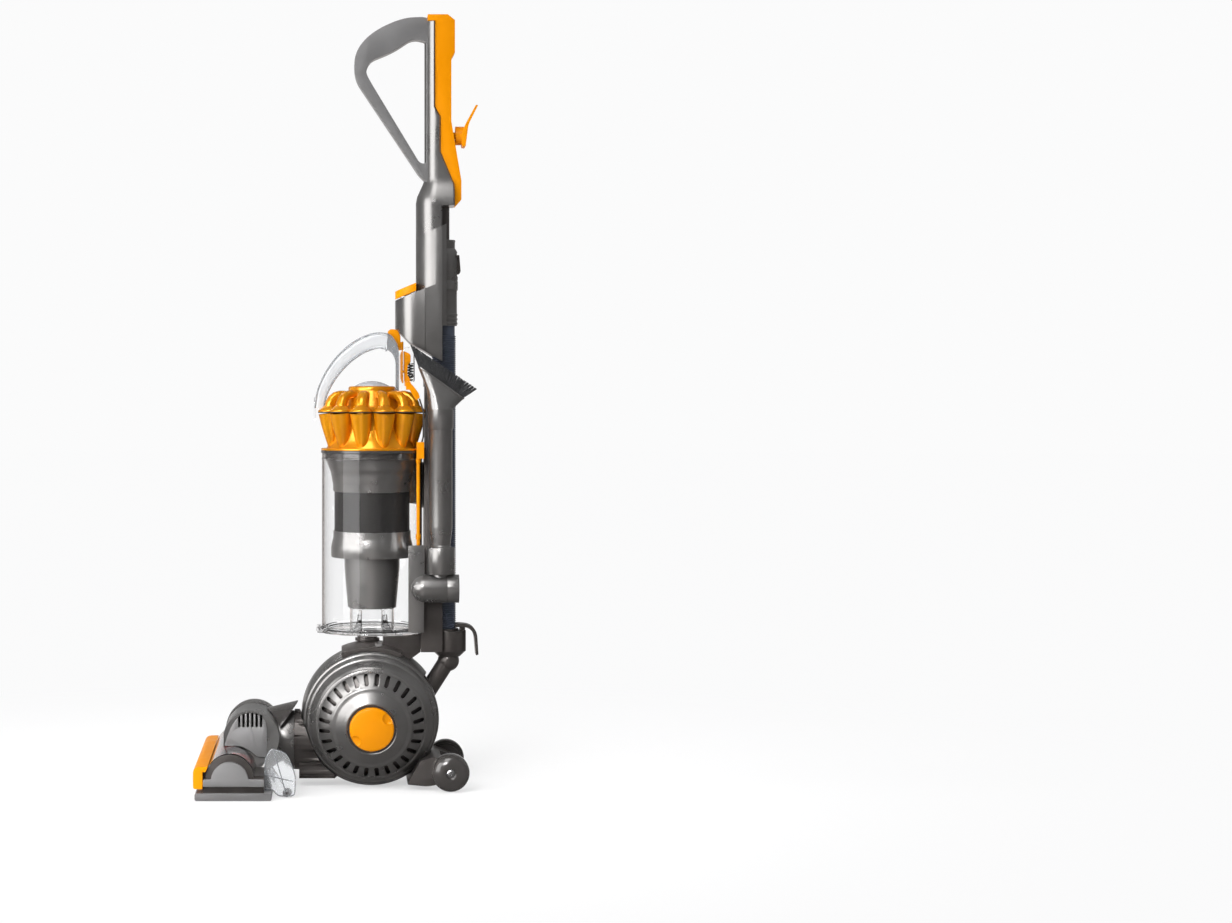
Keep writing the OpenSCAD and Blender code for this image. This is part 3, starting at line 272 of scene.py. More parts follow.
class Shader(Nodes):
    """One material under construction."""

    def __init__(self, name: str) -> None:
        """Starts a material of this name."""
        self.material = bpy.data.materials.new(name)
        self.material.use_nodes = True
        super().__init__(self.material.node_tree, "ShaderNodeOutputMaterial")

    def noise(self, size_mm: float, detail: float = 2.0) -> bpy.types.NodeSocket:
        """Makes noise in the object's own space.

        Args:
            size_mm: about how wide its bumps are.
            detail: how many finer layers it has.

        Returns:
            The noise, mostly between 0.3 and 0.7.
        """
        place = self.add("ShaderNodeTexCoord")
        node = self.add("ShaderNodeTexNoise", Scale=1.0 / (size_mm * MM), Detail=detail, Roughness=0.55)
        self.join(place.outputs["Object"], node.inputs["Vector"])
        return node.outputs["Fac"]

    def spread(self, source: bpy.types.NodeSocket, low: float, high: float) -> bpy.types.NodeSocket:
        """Turns a noise's 0.3 to 0.7 into low to high."""
        return self.ranged(source, (0.3, 0.7), (low, high))

    def mixed(self, source: bpy.types.NodeSocket, finish: Finish) -> bpy.types.NodeSocket:
        """Goes from a finish's colour to its second colour.

        Args:
            source: how much of the second colour there is.
            finish: the finish.

        Returns:
            The colour.
        """
        node = self.add("ShaderNodeMix", data_type="RGBA")
        node.inputs[6].default_value = (*finish.colour, 1.0)
        node.inputs[7].default_value = (*finish.second, 1.0)
        self.join(source, node.inputs[0])
        return node.outputs[2]

    def bump(self, source: bpy.types.NodeSocket, depth_mm: float) -> bpy.types.NodeSocket:
        """Makes a bumped normal.

        Args:
            source: the height, from 0 to 1.
            depth_mm: how deep the relief is.

        Returns:
            The normal.
        """
        node = self.add("ShaderNodeBump", Strength=1.0, Distance=depth_mm * MM)
        self.join(source, node.inputs["Height"])
        return node.outputs["Normal"]

    def shown(self, face: bpy.types.Node) -> bpy.types.Material:
        """Ends the material with a shader node."""
        self.join(face.outputs[0], self.out.inputs["Surface"])
        return self.material


def moulded(finish: Finish) -> bpy.types.Material:
    """Makes moulded plastic or metal: fine grain, slow shifts of colour and of gloss.

    Args:
        finish: the finish.

    Returns:
        The material.
    """
    s = Shader(finish.name)
    face = s.add("ShaderNodeBsdfPrincipled", Metallic=finish.metallic, IOR=finish.ior)
    face.inputs["Coat Weight"].default_value = finish.coat
    face.inputs["Coat Roughness"].default_value = 0.12
    slow, fine = s.noise(38.0, 3.0), s.noise(finish.grain_mm, 2.0)
    s.join(s.mixed(s.spread(slow, 0.0, 1.0), finish), face.inputs["Base Color"])
    s.join(s.spread(slow, finish.roughness * 0.85, finish.roughness * 1.15), face.inputs["Roughness"])
    s.join(s.bump(fine, finish.grain_depth * 0.1), face.inputs["Normal"])
    return s.shown(face)


def see_through(finish: Finish) -> bpy.types.Material:
    """Makes clear polycarbonate, milky where it is thick; the lamps' light goes through it to what is inside.

    Args:
        finish: the finish.

    Returns:
        The material.
    """
    s = Shader(finish.name)
    face = s.add("ShaderNodeBsdfPrincipled", Roughness=finish.roughness, IOR=finish.ior)
    face.inputs["Base Color"].default_value = (*finish.colour, 1.0)
    face.inputs["Transmission Weight"].default_value = 1.0 - finish.milk
    face.inputs["Coat Weight"].default_value = finish.coat
    face.inputs["Coat Roughness"].default_value = 0.03
    face.inputs["Coat IOR"].default_value = 1.7
    s.join(s.bump(s.noise(60.0, 1.0), 0.03), face.inputs["Normal"])
    clear = s.add("ShaderNodeBsdfTransparent", Color=(*finish.colour, 1.0))
    path = s.add("ShaderNodeLightPath")
    return s.shown(s.either(path.outputs["Is Shadow Ray"], face, clear))


def fibrous(finish: Finish) -> bpy.types.Material:
    """Makes nylon bristles: each tuft a little lighter or darker.

    Args:
        finish: the finish.

    Returns:
        The material.
    """
    s = Shader(finish.name)
    face = s.add("ShaderNodeBsdfPrincipled", Roughness=finish.roughness)
    face.inputs["Sheen Weight"].default_value = 0.15
    grain = s.noise(2.4, 2.0)
    s.join(s.mixed(s.spread(grain, 0.0, 1.0), finish), face.inputs["Base Color"])
    s.join(s.bump(grain, 0.05), face.inputs["Normal"])
    return s.shown(face)


def pleated(finish: Finish) -> bpy.types.Material:
    """Makes filter paper: fine felt grain with darker folds.

    Args:
        finish: the finish.

    Returns:
        The material.
    """
    s = Shader(finish.name)
    face = s.add("ShaderNodeBsdfPrincipled", Roughness=finish.roughness)
    felt = s.noise(finish.grain_mm, 5.0)
    s.join(s.mixed(s.spread(felt, 0.0, 1.0), finish), face.inputs["Base Color"])
    s.join(s.bump(felt, finish.grain_depth), face.inputs["Normal"])
    return s.shown(face)


def perforated(finish: Finish) -> bpy.types.Material:
    """Makes etched steel: rows of fine round holes, drawn round the bin's axis.

    Args:
        finish: the finish, whose grain_mm is the pitch of the rows.

    Returns:
        The material.
    """
    holes_round = 300.0
    s = Shader(finish.name)
    face = s.add("ShaderNodeBsdfPrincipled", Metallic=finish.metallic)
    place, shift = s.add("ShaderNodeTexCoord"), s.add("ShaderNodeVectorMath", operation="SUBTRACT")
    shift.inputs[1].default_value = (0.0, BIN_Y * MM, 0.0)
    s.join(place.outputs["Object"], shift.inputs[0])
    parts = s.add("ShaderNodeSeparateXYZ")
    s.join(shift.outputs["Vector"], parts.inputs["Vector"])
    turn = s.maths("ARCTAN2", parts.outputs["Y"], parts.outputs["X"])
    squares = []
    for source, rate in ((turn, holes_round / 2), (parts.outputs["Z"], math.pi / (finish.grain_mm * MM))):
        wave = s.maths("SINE", s.maths("MULTIPLY", source, rate))
        squares.append(s.maths("MULTIPLY", wave, wave))
    hole = s.maths("MULTIPLY", *squares)
    s.join(s.mixed(hole, finish), face.inputs["Base Color"])
    s.join(s.ranged(hole, (0.0, 1.0), (finish.roughness, 0.9)), face.inputs["Roughness"])
    return s.shown(face)


MAKERS: dict[Kind, Callable[[Finish], bpy.types.Material]] = {
    Kind.PLASTIC: moulded,
    Kind.TINTED: moulded,
    Kind.METAL: moulded,
    Kind.CLEAR: see_through,
    Kind.FIBRE: fibrous,
    Kind.PLEATED: pleated,
    Kind.MESH: perforated,
}


class Palette:
    """Every finish, made once and looked up by its name."""

    def __init__(self) -> None:
        """Makes the materials."""
        self.materials = {f.name: MAKERS[f.kind](f) for f in FINISHES}
        self.slots = {f.name: f.slot or f.name for f in FINISHES}

    def __getitem__(self, name: str) -> bpy.types.Material:
        """Gives a finish's material."""
        return self.materials[name]

    def dress(self, obj: bpy.types.Object, name: str) -> None:
        """Gives the whole of an object one finish."""
        obj.data.materials.clear()
        obj.data.materials.append(self.materials[name])


# ---------------------------------------------------------------- geometry
class Form:
    """A mesh under construction, in millimetres, that becomes one named piece."""

    def __init__(self, name: str) -> None:
        """Starts an empty mesh."""
        self.name = name
        self.bm = bmesh.new()

    def ring_loft(self, rings: Sequence[Sequence[Point]], closed: bool = True, capped: bool = True) -> None:
        """Skins a row of equal rings, for shapes whose section changes on the way.

        Args:
            rings: the sections, in order.
            closed: whether each ring's ends are joined.
            capped: whether the first and the last ring are shut.
        """
        rows = [[self.bm.verts.new(p) for p in ring] for ring in rings]
        count = len(rows[0])
        for low, high in zip(rows, rows[1:]):
            for k in range(count if closed else count - 1):
                self.bm.faces.new((low[k], low[(k + 1) % count], high[(k + 1) % count], high[k]))
        if capped and closed:
            self.bm.faces.new(tuple(reversed(rows[0])))
            self.bm.faces.new(tuple(rows[-1]))

    def lathe(self, profile: Sequence[Flat], place: Matrix, steps: int = 96, shut: bool = False,
              start: float = 0.0, turn: float = math.tau) -> None:
        """Turns a profile about place's Z axis.

        Args:
            profile: (radius, height) points.
            place: the frame whose Z is the axis.
            steps: how many faces the turn has.
            shut: whether the profile's last point joins its first.
            start: where the turn begins, in radians.
            turn: how far it goes, in radians.
        """
        whole = abs(turn - math.tau) < 1e-6
        columns = []
        for k in range(steps if whole else steps + 1):
            a = start + turn * k / steps
            columns.append([self.bm.verts.new(place @ Vector((r * math.cos(a), r * math.sin(a), h)))
                            for r, h in profile])
        count = len(profile)
        for one, two in zip(columns, columns[1:] + columns[:1] if whole else columns[1:]):
            for k in range(count if shut else count - 1):
                n = (k + 1) % count
                self.bm.faces.new((one[k], two[k], two[n], one[n]))
        if shut and not whole:
            self.bm.faces.new(tuple(reversed(columns[0])))
            self.bm.faces.new(tuple(columns[-1]))

    def slab(self, outline: Sequence[Flat], low: float, high: float, place: Matrix | None = None) -> None:
        """Makes a closed plate.

        Args:
            outline: its outline along place's first two axes.
            low: where it starts along the third.
            high: where it ends.
            place: the frame, which is the machine's own if it isn't given.
        """
        place = place or Matrix.Identity(4)
        face = self.bm.faces.new([self.bm.verts.new(place @ Vector((u, v, low))) for u, v in outline])
        raised = bmesh.ops.extrude_face_region(self.bm, geom=[face])["geom"]
        bmesh.ops.translate(self.bm, vec=place.to_3x3().col[2] * (high - low),
                            verts=[v for v in raised if isinstance(v, bmesh.types.BMVert)])

    def tube(self, path: Sequence[Point], radius: float | Sequence[float], sides: int = 16,
             capped: bool = True) -> None:
        """Makes a round tube.

        Args:
            path: its middle line.
            radius: its radius, or one for each point.
            sides: how many faces it has round.
            capped: whether its ends are shut.
        """
        points = [Vector(p) for p in path]
        radii = [radius] * len(points) if isinstance(radius, (int, float)) else list(radius)
        rings = []
        side = None
        for k, p in enumerate(points):
            ahead = (points[min(k + 1, len(points) - 1)] - points[max(k - 1, 0)]).normalized()
            side = ahead.orthogonal() if side is None else side - ahead * side.dot(ahead)
            side.normalize()
            rings.append(oval(p, side * radii[k], ahead.cross(side) * radii[k], 1.0, sides))
        self.ring_loft(rings, capped=capped)

    def bevel_sharp(self, width: float, segments: int = 2, angle: float = 32.0) -> None:
        """Rounds sharp edges.

        Args:
            width: how far the rounding reaches.
            segments: how many faces it has.
            angle: edges sharper than this, in degrees, are rounded.
        """
        self.bm.normal_update()
        limit = math.radians(angle)
        edges = [e for e in self.bm.edges if len(e.link_faces) == 2 and e.calc_face_angle(0.0) > limit]
        bmesh.ops.bevel(self.bm, geom=edges, offset=width, segments=segments, profile=0.6,
                        affect="EDGES", clamp_overlap=True, material=-1)

    def linked(self, fix: bool = True) -> bpy.types.Object:
        """Turns the mesh to metres and puts it in the scene.

        Args:
            fix: whether the faces are turned outwards first.

        Returns:
            The new object.
        """
        if fix:
            bmesh.ops.recalc_face_normals(self.bm, faces=self.bm.faces)
        bmesh.ops.scale(self.bm, vec=(MM, MM, MM), verts=self.bm.verts)
        mesh = bpy.data.meshes.new(self.name)
        self.bm.to_mesh(mesh)
        self.bm.free()
        obj = bpy.data.objects.new(self.name, mesh)
        bpy.context.scene.collection.objects.link(obj)
        return obj

    def done(self, palette: Palette, finish: str, body: str, *nodes: str, smooth: float = 40.0,
             fix: bool = True) -> bpy.types.Object:
        """Makes the piece.

        Args:
            palette: the finishes.
            finish: the name of its own.
            body: the body that it rides.
            nodes: the CAD nodes that it stands for.
            smooth: faces that meet at less than this, in degrees, are shaded as one.
            fix: whether its faces are turned outwards first.

        Returns:
            The piece.
        """
        obj = self.linked(fix)
        finish_shading(obj, smooth)
        palette.dress(obj, finish)
        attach(obj, body)
        if nodes:
            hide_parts(*nodes)
        return obj


def finish_shading(obj: bpy.types.Object, angle: float) -> None:
    """Shades an object smooth, with creases where faces meet at more than angle degrees."""
    mesh = obj.data
    mesh.polygons.foreach_set("use_smooth", [True] * len(mesh.polygons))
    mesh.set_sharp_from_angle(angle=math.radians(angle))


def settle(obj: bpy.types.Object) -> None:
    """Applies every modifier of an object to its mesh.

    Args:
        obj: the object.
    """
    graph = bpy.context.evaluated_depsgraph_get()
    mesh = bpy.data.meshes.new_from_object(obj.evaluated_get(graph))
    old, obj.data = obj.data, mesh
    obj.modifiers.clear()
    bpy.data.meshes.remove(old)


def cut(obj: bpy.types.Object, tool: Form, smooth: float) -> None:
    """Takes a form out of a piece, for good.

    Args:
        obj: the piece.
        tool: the form, which is used up.
        smooth: the angle of finish_shading.
    """
    cutter = tool.linked()
    mod = obj.modifiers.new("cut", "BOOLEAN")
    mod.operation, mod.solver, mod.object = "DIFFERENCE", "EXACT", cutter
    settle(obj)
    bpy.data.objects.remove(cutter)
    finish_shading(obj, smooth)


def round_edges(obj: bpy.types.Object, width: float, segments: int, angle: float = 50.0) -> None:
    """Rounds an object's sharp edges, for good.

    Args:
        obj: the object.
        width: how far the rounding reaches.
        segments: how many faces it has.
        angle: edges sharper than this, in degrees, are rounded.
    """
    mod = obj.modifiers.new("rounding", "BEVEL")
    mod.width, mod.segments = width * MM, segments
    mod.limit_method, mod.angle_limit = "ANGLE", math.radians(angle)
    mod.use_clamp_overlap = True
    settle(obj)
    finish_shading(obj, 42)


def on_side() -> Matrix:
    """Turns a side view's (Y, Z) into places in the frame: the third axis is X."""
    return Matrix(((0, 0, 1, 0), (1, 0, 0, 0), (0, 1, 0, 0), (0, 0, 0, 1)))


def along(start: Vector, direction: Vector) -> Matrix:
    """Gives a frame at start whose Z axis points along direction."""
    return Matrix.Translation(start) @ direction.to_track_quat("Z", "Y").to_matrix().to_4x4()


def mirrored(side: int, near: float, far: float) -> Flat:
    """Gives the low and high X of what lies from near to far on one side, which is 1 or -1."""
    low, high = sorted((side * near, side * far))
    return low, high


def side_name(side: int) -> str:
    """Names a side: 1 is the right, and -1 the left."""
    return "right" if side > 0 else "left"


def oval(centre: Vector, across: Vector, up: Vector, power: float, count: int) -> list[Vector]:
    """Makes a ring that is an ellipse at power 1 and ever squarer below it.

    Args:
        centre: its middle.
        across: its first half width.
        up: its second half width.
        power: what its sine and cosine are raised to.
        count: how many points it has.

    Returns:
        The points, in order.
    """
    ring = []
    for n in range(count):
        c, s = math.cos(math.tau * n / count), math.sin(math.tau * n / count)
        ring.append(centre + across * math.copysign(abs(c) ** power, c) + up * math.copysign(abs(s) ** power,
                                                                                             s))
    return ring


def rounded(points: Sequence[Point], steps: int = 6) -> list[Flat]:
    """Rounds an outline's corners.

    Args:
        points: its corners as (u, v, reach of the rounding).
        steps: how many faces a corner gets.

    Returns:
        The outline.
    """
    outline: list[Flat] = []
    for k, (u, v, reach) in enumerate(points):
        here = Vector((u, v))
        before = Vector(points[k - 1][:2]) - here
        after = Vector(points[(k + 1) % len(points)][:2]) - here
        if reach <= 0:
            outline.append((u, v))
            continue
        start = here + before * min(0.49, reach / before.length)
        end = here + after * min(0.49, reach / after.length)
        for n in range(steps + 1):
            t = n / steps
            p = start * (1 - t) ** 2 + here * 2 * t * (1 - t) + end * t * t
            outline.append((p.x, p.y))
    return outline


def smooth_path(points: Sequence[Point], steps: int = 8) -> list[Vector]:
    """Draws a smooth line.

    Args:
        points: what it goes through.
        steps: how many pieces there are from one to the next.

    Returns:
        The line's points.
    """
    places = [Vector(p) for p in points]
    line: list[Vector] = []
    for k in range(len(places) - 1):
        a, b, c, d = places[max(k - 1, 0)], places[k], places[k + 1], places[min(k + 2, len(places) - 1)]
        for n in range(steps):
            t = n / steps
            line.append(0.5 * ((2 * b) + (c - a) * t + (2 * a - 5 * b + 4 * c - d) * t * t
                               + (3 * b - a - 3 * c + d) * t ** 3))
    line.append(places[-1])
    return line


@dataclass
class Assembly:
    """One sub-assembly of the machine, whose other fields are its sizes."""

    palette: Palette

    def soften(self, node: str, finish: str, body: str, width: float) -> bpy.types.Object:
        """Copies a CAD node with its sharp edges rounded, to take the node's place.

        Args:
            node: the CAD node.
            finish: the copy's finish.
            body: the body that it rides.
            width: how far the rounding reaches.

        Returns:
            The copy.
        """
        source = bpy.data.objects[node]
        form = Form(f"{node}_soft")
        form.bm.from_mesh(source.data)
        form.bm.transform(source.matrix_world)
        bmesh.ops.scale(form.bm, vec=(1 / MM,) * 3, verts=form.bm.verts)
        bmesh.ops.remove_doubles(form.bm, verts=form.bm.verts, dist=0.005)
        bmesh.ops.dissolve_limit(form.bm, angle_limit=math.radians(0.6), verts=form.bm.verts,
                                 edges=form.bm.edges)
        form.bevel_sharp(width, 2, 35.0)
        return form.done(self.palette, finish, body, node, smooth=35.0, fix=False)

    def build(self) -> None:
        """Makes every piece of the sub-assembly."""
        raise NotImplementedError


# ---------------------------------------------------------------- camera and studio
@dataclass(frozen=True)
class Lamp:
    """A soft box: where it stands, where it points, its size in metres and its power in watts."""

    name: str
    place: Point
    target: Point
    size: Flat
    power: float
    mirrored: bool = True
    spread: float = 180.0


LAMPS: tuple[Lamp, ...] = (
    Lamp("key", (1.6, -1.85, 1.0), (0, 0, 0.6), (1.9, 1.95), 60),
    Lamp("high", (1.9, -0.55, 3.0), (0, 0, 0.4), (1.5, 1.5), 38),
    Lamp("fill", (1.2, 3.2, 1.2), (0, 0, 0.5), (0.6, 2.4), 15, False),
    Lamp("brow", (2.35, -0.75, 1.4), (0, 0, 0.05), (1.0, 0.9), 1.6, True, 25.0),
    Lamp("front", (0.4, -3.0, 1.25), (0, 0, 0.7), (1.0, 2.3), 40, False),
    Lamp("side", (-2.4, 0.3, 2.6), (0, 0, 0.5), (1.4, 1.6), 36, False),
    Lamp("back", (-0.8, 3.0, 1.6), (0, 0, 0.5), (1.2, 2.4), 32, False),
)


@dataclass(frozen=True)
class Studio:
    """Camera, a plain pale floor and soft light, in metres but for the picture's own sizes."""

    distance: float = 3.65
    eye: Flat = (-0.0066, 0.521)
    picture: Flat = (1232.0, 923.0)
    principal: Flat = (334.0, 411.0)
    mm_per_pixel: float = 1.4
    sensor: float = 36.0
    floor_radius: float = 30.0
    floor_drop: float = 0.0005
    lanes: tuple[Point, ...] = (
        (0.06, 0, 1), (0.12, 0, 0), (0.18, 0, 0), (0.235, 1, 0), (0.265, 1, 0), (0.33, 0, 0),
        (0.42, 0, 0), (0.47, 1, 0), (0.51, 1, 0), (0.56, 0, 0), (0.88, 0, 0), (0.94, 0, 1))

    def camera(self) -> None:
        """Looks level along -X, from the machine's right side."""
        width, height = self.picture
        data = bpy.data.cameras.new("camera")
        data.sensor_width = self.sensor
        data.lens = self.sensor * self.distance / MM / self.mm_per_pixel / width
        data.shift_x = (width / 2 - self.principal[0]) / width
        data.shift_y = (self.principal[1] - height / 2) / width
        data.clip_end = 100.0
        camera = bpy.data.objects.new("camera", data)
        camera.location = (self.distance, *self.eye)
        camera.rotation_euler = (math.radians(90), 0.0, math.radians(90))
        bpy.context.scene.collection.objects.link(camera)
        bpy.context.scene.camera = camera

    def lamps(self) -> None:
        """Hangs the soft boxes."""
        for lamp in LAMPS:
            data = bpy.data.lights.new(lamp.name, "AREA")
            data.shape, data.energy = "RECTANGLE", lamp.power
            data.size, data.size_y = lamp.size
            data.spread = math.radians(lamp.spread)
            obj = bpy.data.objects.new(lamp.name, data)
            obj.visible_glossy = lamp.mirrored
            obj.location = lamp.place
            aim = Vector(lamp.target) - Vector(lamp.place)
            obj.rotation_euler = aim.to_track_quat("-Z", "Y").to_euler()
            bpy.context.scene.collection.objects.link(obj)

    def world(self) -> None:
        """Makes the world pale to the camera and through clear walls, and darker low down to the rest."""
        world = bpy.data.worlds.new("studio")
        bpy.context.scene.world = world
        world.use_nodes = True
        n = Nodes(world.node_tree, "ShaderNodeOutputWorld")
        seen = n.add("ShaderNodeBackground", Color=(0.965, 0.965, 0.967, 1))
        lit = n.add("ShaderNodeBackground", Color=(1.0, 1.0, 1.0, 1))
        place, parts = n.add("ShaderNodeTexCoord"), n.add("ShaderNodeSeparateXYZ")
        n.join(place.outputs["Generated"], parts.inputs["Vector"])
        rise = n.ranged(parts.outputs["Z"], (-0.15, 0.5), (0.04, 0.24))
        rim = n.ranged(parts.outputs["X"], (-0.95, -0.55), (0.6, 0.0))
        low = n.ranged(parts.outputs["Z"], (0.03, 0.12), (1.0, 0.15))
        n.join(n.maths("MULTIPLY_ADD", rim, low, rise), lit.inputs["Strength"])
        n.join(n.either(n.bounced(), seen, lit).outputs[0], n.out.inputs["Surface"])

    def glint(self, s: Shader, place: bpy.types.NodeSocket,
              reach: bpy.types.NodeSocket) -> bpy.types.NodeSocket:
        """Works out how bright the floor looks in a mirror: two bright lanes, and the pale ground behind.

        Args:
            s: the floor's material.
            place: the place on the floor.
            reach: how far that is from the machine.

        Returns:
            The brightness.
        """
        turn, ramp = s.add("ShaderNodeTexGradient", gradient_type="RADIAL"), s.add("ShaderNodeValToRGB")
        s.join(place, turn.inputs["Vector"])
        stops = ramp.color_ramp.elements
        for stop, position in zip(stops, (0.0, 1.0)):
            stop.position, stop.color = position, (0, 1, 0, 1)
        for position, lane, behind in self.lanes:
            stops.new(position).color = (lane, behind, 0, 1)
        s.join(turn.outputs["Fac"], ramp.inputs["Fac"])
        parts = s.add("ShaderNodeSeparateColor")
        s.join(ramp.outputs["Color"], parts.inputs["Color"])
        band = s.maths("MULTIPLY", s.ranged(reach, (0.15, 0.5), (0.0, 5.0)),
                       s.ranged(reach, (1.6, 3.0), (1.0, 0.0)))
        ground = s.maths("MULTIPLY_ADD", parts.outputs["Green"], 6.0, 1.1)
        return s.maths("MULTIPLY_ADD", parts.outputs["Red"], band, ground)

    def floor(self) -> None:
        """Lays a pale floor that keeps the machine's shadow."""
        bm = bmesh.new()
        bmesh.ops.create_circle(bm, cap_ends=True, segments=64, radius=self.floor_radius)
        mesh = bpy.data.meshes.new("floor")
        bm.to_mesh(mesh)
        bm.free()
        obj = bpy.data.objects.new("floor", mesh)
        obj.location = (0, 0, -self.floor_drop)
        bpy.context.scene.collection.objects.link(obj)
        s = Shader("floor")
        pale = s.add("ShaderNodeBsdfDiffuse", Color=(0.9, 0.9, 0.9, 1))
        glow = s.add("ShaderNodeEmission", Color=(0.962, 0.962, 0.965, 1))
        dim = s.add("ShaderNodeEmission", Color=(0.11, 0.103, 0.10, 1))
        path, place = s.add("ShaderNodeLightPath"), s.add("ShaderNodeTexCoord").outputs["Object"]
        length = s.add("ShaderNodeVectorMath", operation="LENGTH")
        s.join(place, length.inputs[0])
        reach = length.outputs["Value"]
        far = s.maths("MAXIMUM", s.ranged(reach, (0.35, 1.3), (0.55, 1.0)),
                      path.outputs["Is Transmission Ray"])
        s.join(self.glint(s, place, reach), dim.inputs["Strength"])
        direct, after = s.either(far, pale, glow), s.either(path.outputs["Is Diffuse Ray"], dim, pale)
        mesh.materials.append(s.shown(s.either(s.bounced(), direct, after)))

    def build(self) -> None:
        """Makes everything but the machine."""
        self.camera()
        self.lamps()
        self.world()
        self.floor()
        bpy.context.scene.view_settings.view_transform = "Standard"


# ---------------------------------------------------------------- dust bin and cyclones
def polar(radius: float, degrees: float, z: float) -> Point:
    """Gives a place round the bin's axis.

    Args:
        radius: its distance from the axis.
        degrees: its angle from +X.
        z: its height.

    Returns:
        The place.
    """
    a = math.radians(degrees)
    return (radius * math.cos(a), BIN_Y + radius * math.sin(a), z)


def bin_frame(z: float = 0.0) -> Matrix:
    """Gives the bin's axis as a frame."""
    return Matrix.Translation((0.0, BIN_Y, z))


@dataclass
class CyclonePack(Assembly):
    """Twelve amber cones with flat cone caps, a finger from each to the hub, and the filter's dome."""

    count: int = 12
    foot_z: float = 468.4
    seam_z: float = 518.6
    foot_ring: float = 55.6
    top_ring: float = 61.5
    spine: tuple[tuple[float, float, float, float, float], ...] = (
        (61.6, 524.0, 8.6, 7.6, 8), (60.6, 530.5, 7.8, 7.2, 22), (57.8, 536.5, 7.1, 7.0, 42),
        (52.8, 541.2, 6.7, 6.6, 66),
        (46.5, 543.3, 6.5, 6.2, 84), (40.0, 543.8, 6.3, 5.6, 90), (34.5, 543.6, 6.0, 5.0, 92))

    def angles(self) -> list[float]:
        """Gives the cones' angles round the bin."""
        return [360.0 / self.count * (k + 0.5) for k in range(self.count)]

    def cones(self) -> None:
        """Makes the cones below the seam, their backing wall and the flange."""
        form = Form("cyclone_cones")
        form.lathe([(52, 466.3), (71.2, 466.3), (71.4, 466.9), (71.2, 468.6), (70.2, 469.2), (63.5, 469.4),
                    (58.0, 480), (54.5, 500), (53.5, 517.5), (52, 517.5)], bin_frame(), 120, shut=True)
        for angle in self.angles():
            foot = Vector(polar(self.foot_ring, angle, self.foot_z))
            top = Vector(polar(self.top_ring, angle, self.seam_z))
            axis = along(foot, top - foot)
            form.lathe([(4.2, 0), (6.2, 0), (7.2, 3), (9.6, 14), (12.0, 26), (13.9, 37), (15.0, 46),
                        (15.35, 49), (15.55, 50.0), (14.0, 50.0), (13.6, 46), (10.5, 26), (4.2, 2)], axis, 40,
                        shut=True)
        form.done(self.palette, "amber_clear", "bin", "cyclones", smooth=50)

    def seam(self) -> None:
        """Makes the thin dark gasket in each cone's seam."""
        form = Form("cyclone_gasket")
        for angle in self.angles():
            x, y, _ = polar(self.top_ring + 0.1, angle, 0)
            form.lathe([(12, 518.3), (15.75, 518.3), (15.95, 519.0), (15.75, 519.7), (12, 519.7)],
                       Matrix.Translation((x, y, 0)), 40, shut=True)
        form.done(self.palette, "seal_black", "bin")

    def caps(self) -> None:
        """Makes shallow cones over the cyclones, each with a raised finger that leads to the hub."""
        form = Form("cyclone_caps")
        for angle in self.angles():
            x, y, _ = polar(self.top_ring, angle, 0)
            form.lathe([(10, 519.6), (15.7, 519.6), (16.1, 520.2), (15.9, 521.4), (13.5, 523.6), (9.5, 527.0),
                        (6, 529.5), (0.5, 530.5)],
                       Matrix.Translation((x, y, 0)), 40)
            self.finger(form, angle)
        form.lathe([(30, 517.6), (52, 517.6), (52, 520.0), (47.5, 523.5), (44, 530), (38.6, 540), (35.2, 547),
                    (33.8, 549.5), (30, 549.5)],
                   bin_frame(), 96, shut=True)
        form.lathe([(27.9, 548.5), (31.6, 548.5), (33.0, 549.6), (33.0, 553.4), (31.9, 555.0), (29.6, 555.6),
                    (27.9, 555.0)],
                   bin_frame(), 96, shut=True)
        form.done(self.palette, "amber_clear", "bin", smooth=50)

    def finger(self, form: Form, angle: float) -> None:
        """Makes one thumb-shaped duct, which rises out of its cap and leans over to the hub.

        The spine's rows are distance from the axis, height, half width, half thickness and lean.

        Args:
            form: the caps.
            angle: the duct's own, in degrees.
        """
        out = Vector((math.cos(math.radians(angle)), math.sin(math.radians(angle)), 0))
        side, up = Vector((-out.y, out.x, 0)), Vector((0, 0, 1))
        rings = []
        for rho, z, wide, tall, lean in self.spine:
            a = math.radians(lean)
            normal = out * math.cos(a) + up * math.sin(a)
            rings.append(oval(out * rho + Vector((0, BIN_Y, z)), side * wide, normal * tall, 0.8, 20))
        form.ring_loft(rings)

    def dome(self) -> None:
        """Makes the pearly dome over the washable filter."""
        form = Form("filter_dome")
        form.lathe([(0.4, 563.0), (6, 562.6), (12, 561.4), (18, 559.3), (23, 556.7), (26.3, 554.2),
                    (27.3, 552.4), (27.3, 549), (24.5, 549), (24.5, 551.5), (18, 556.6), (0.4, 560.4)],
                    bin_frame(), 96)
        form.done(self.palette, "dome_pearl", "bin", "cyclone_cap", smooth=50)

    def build(self) -> None:
        """Makes the whole pack."""
        self.cones()
        self.seam()
        self.caps()
        self.dome()


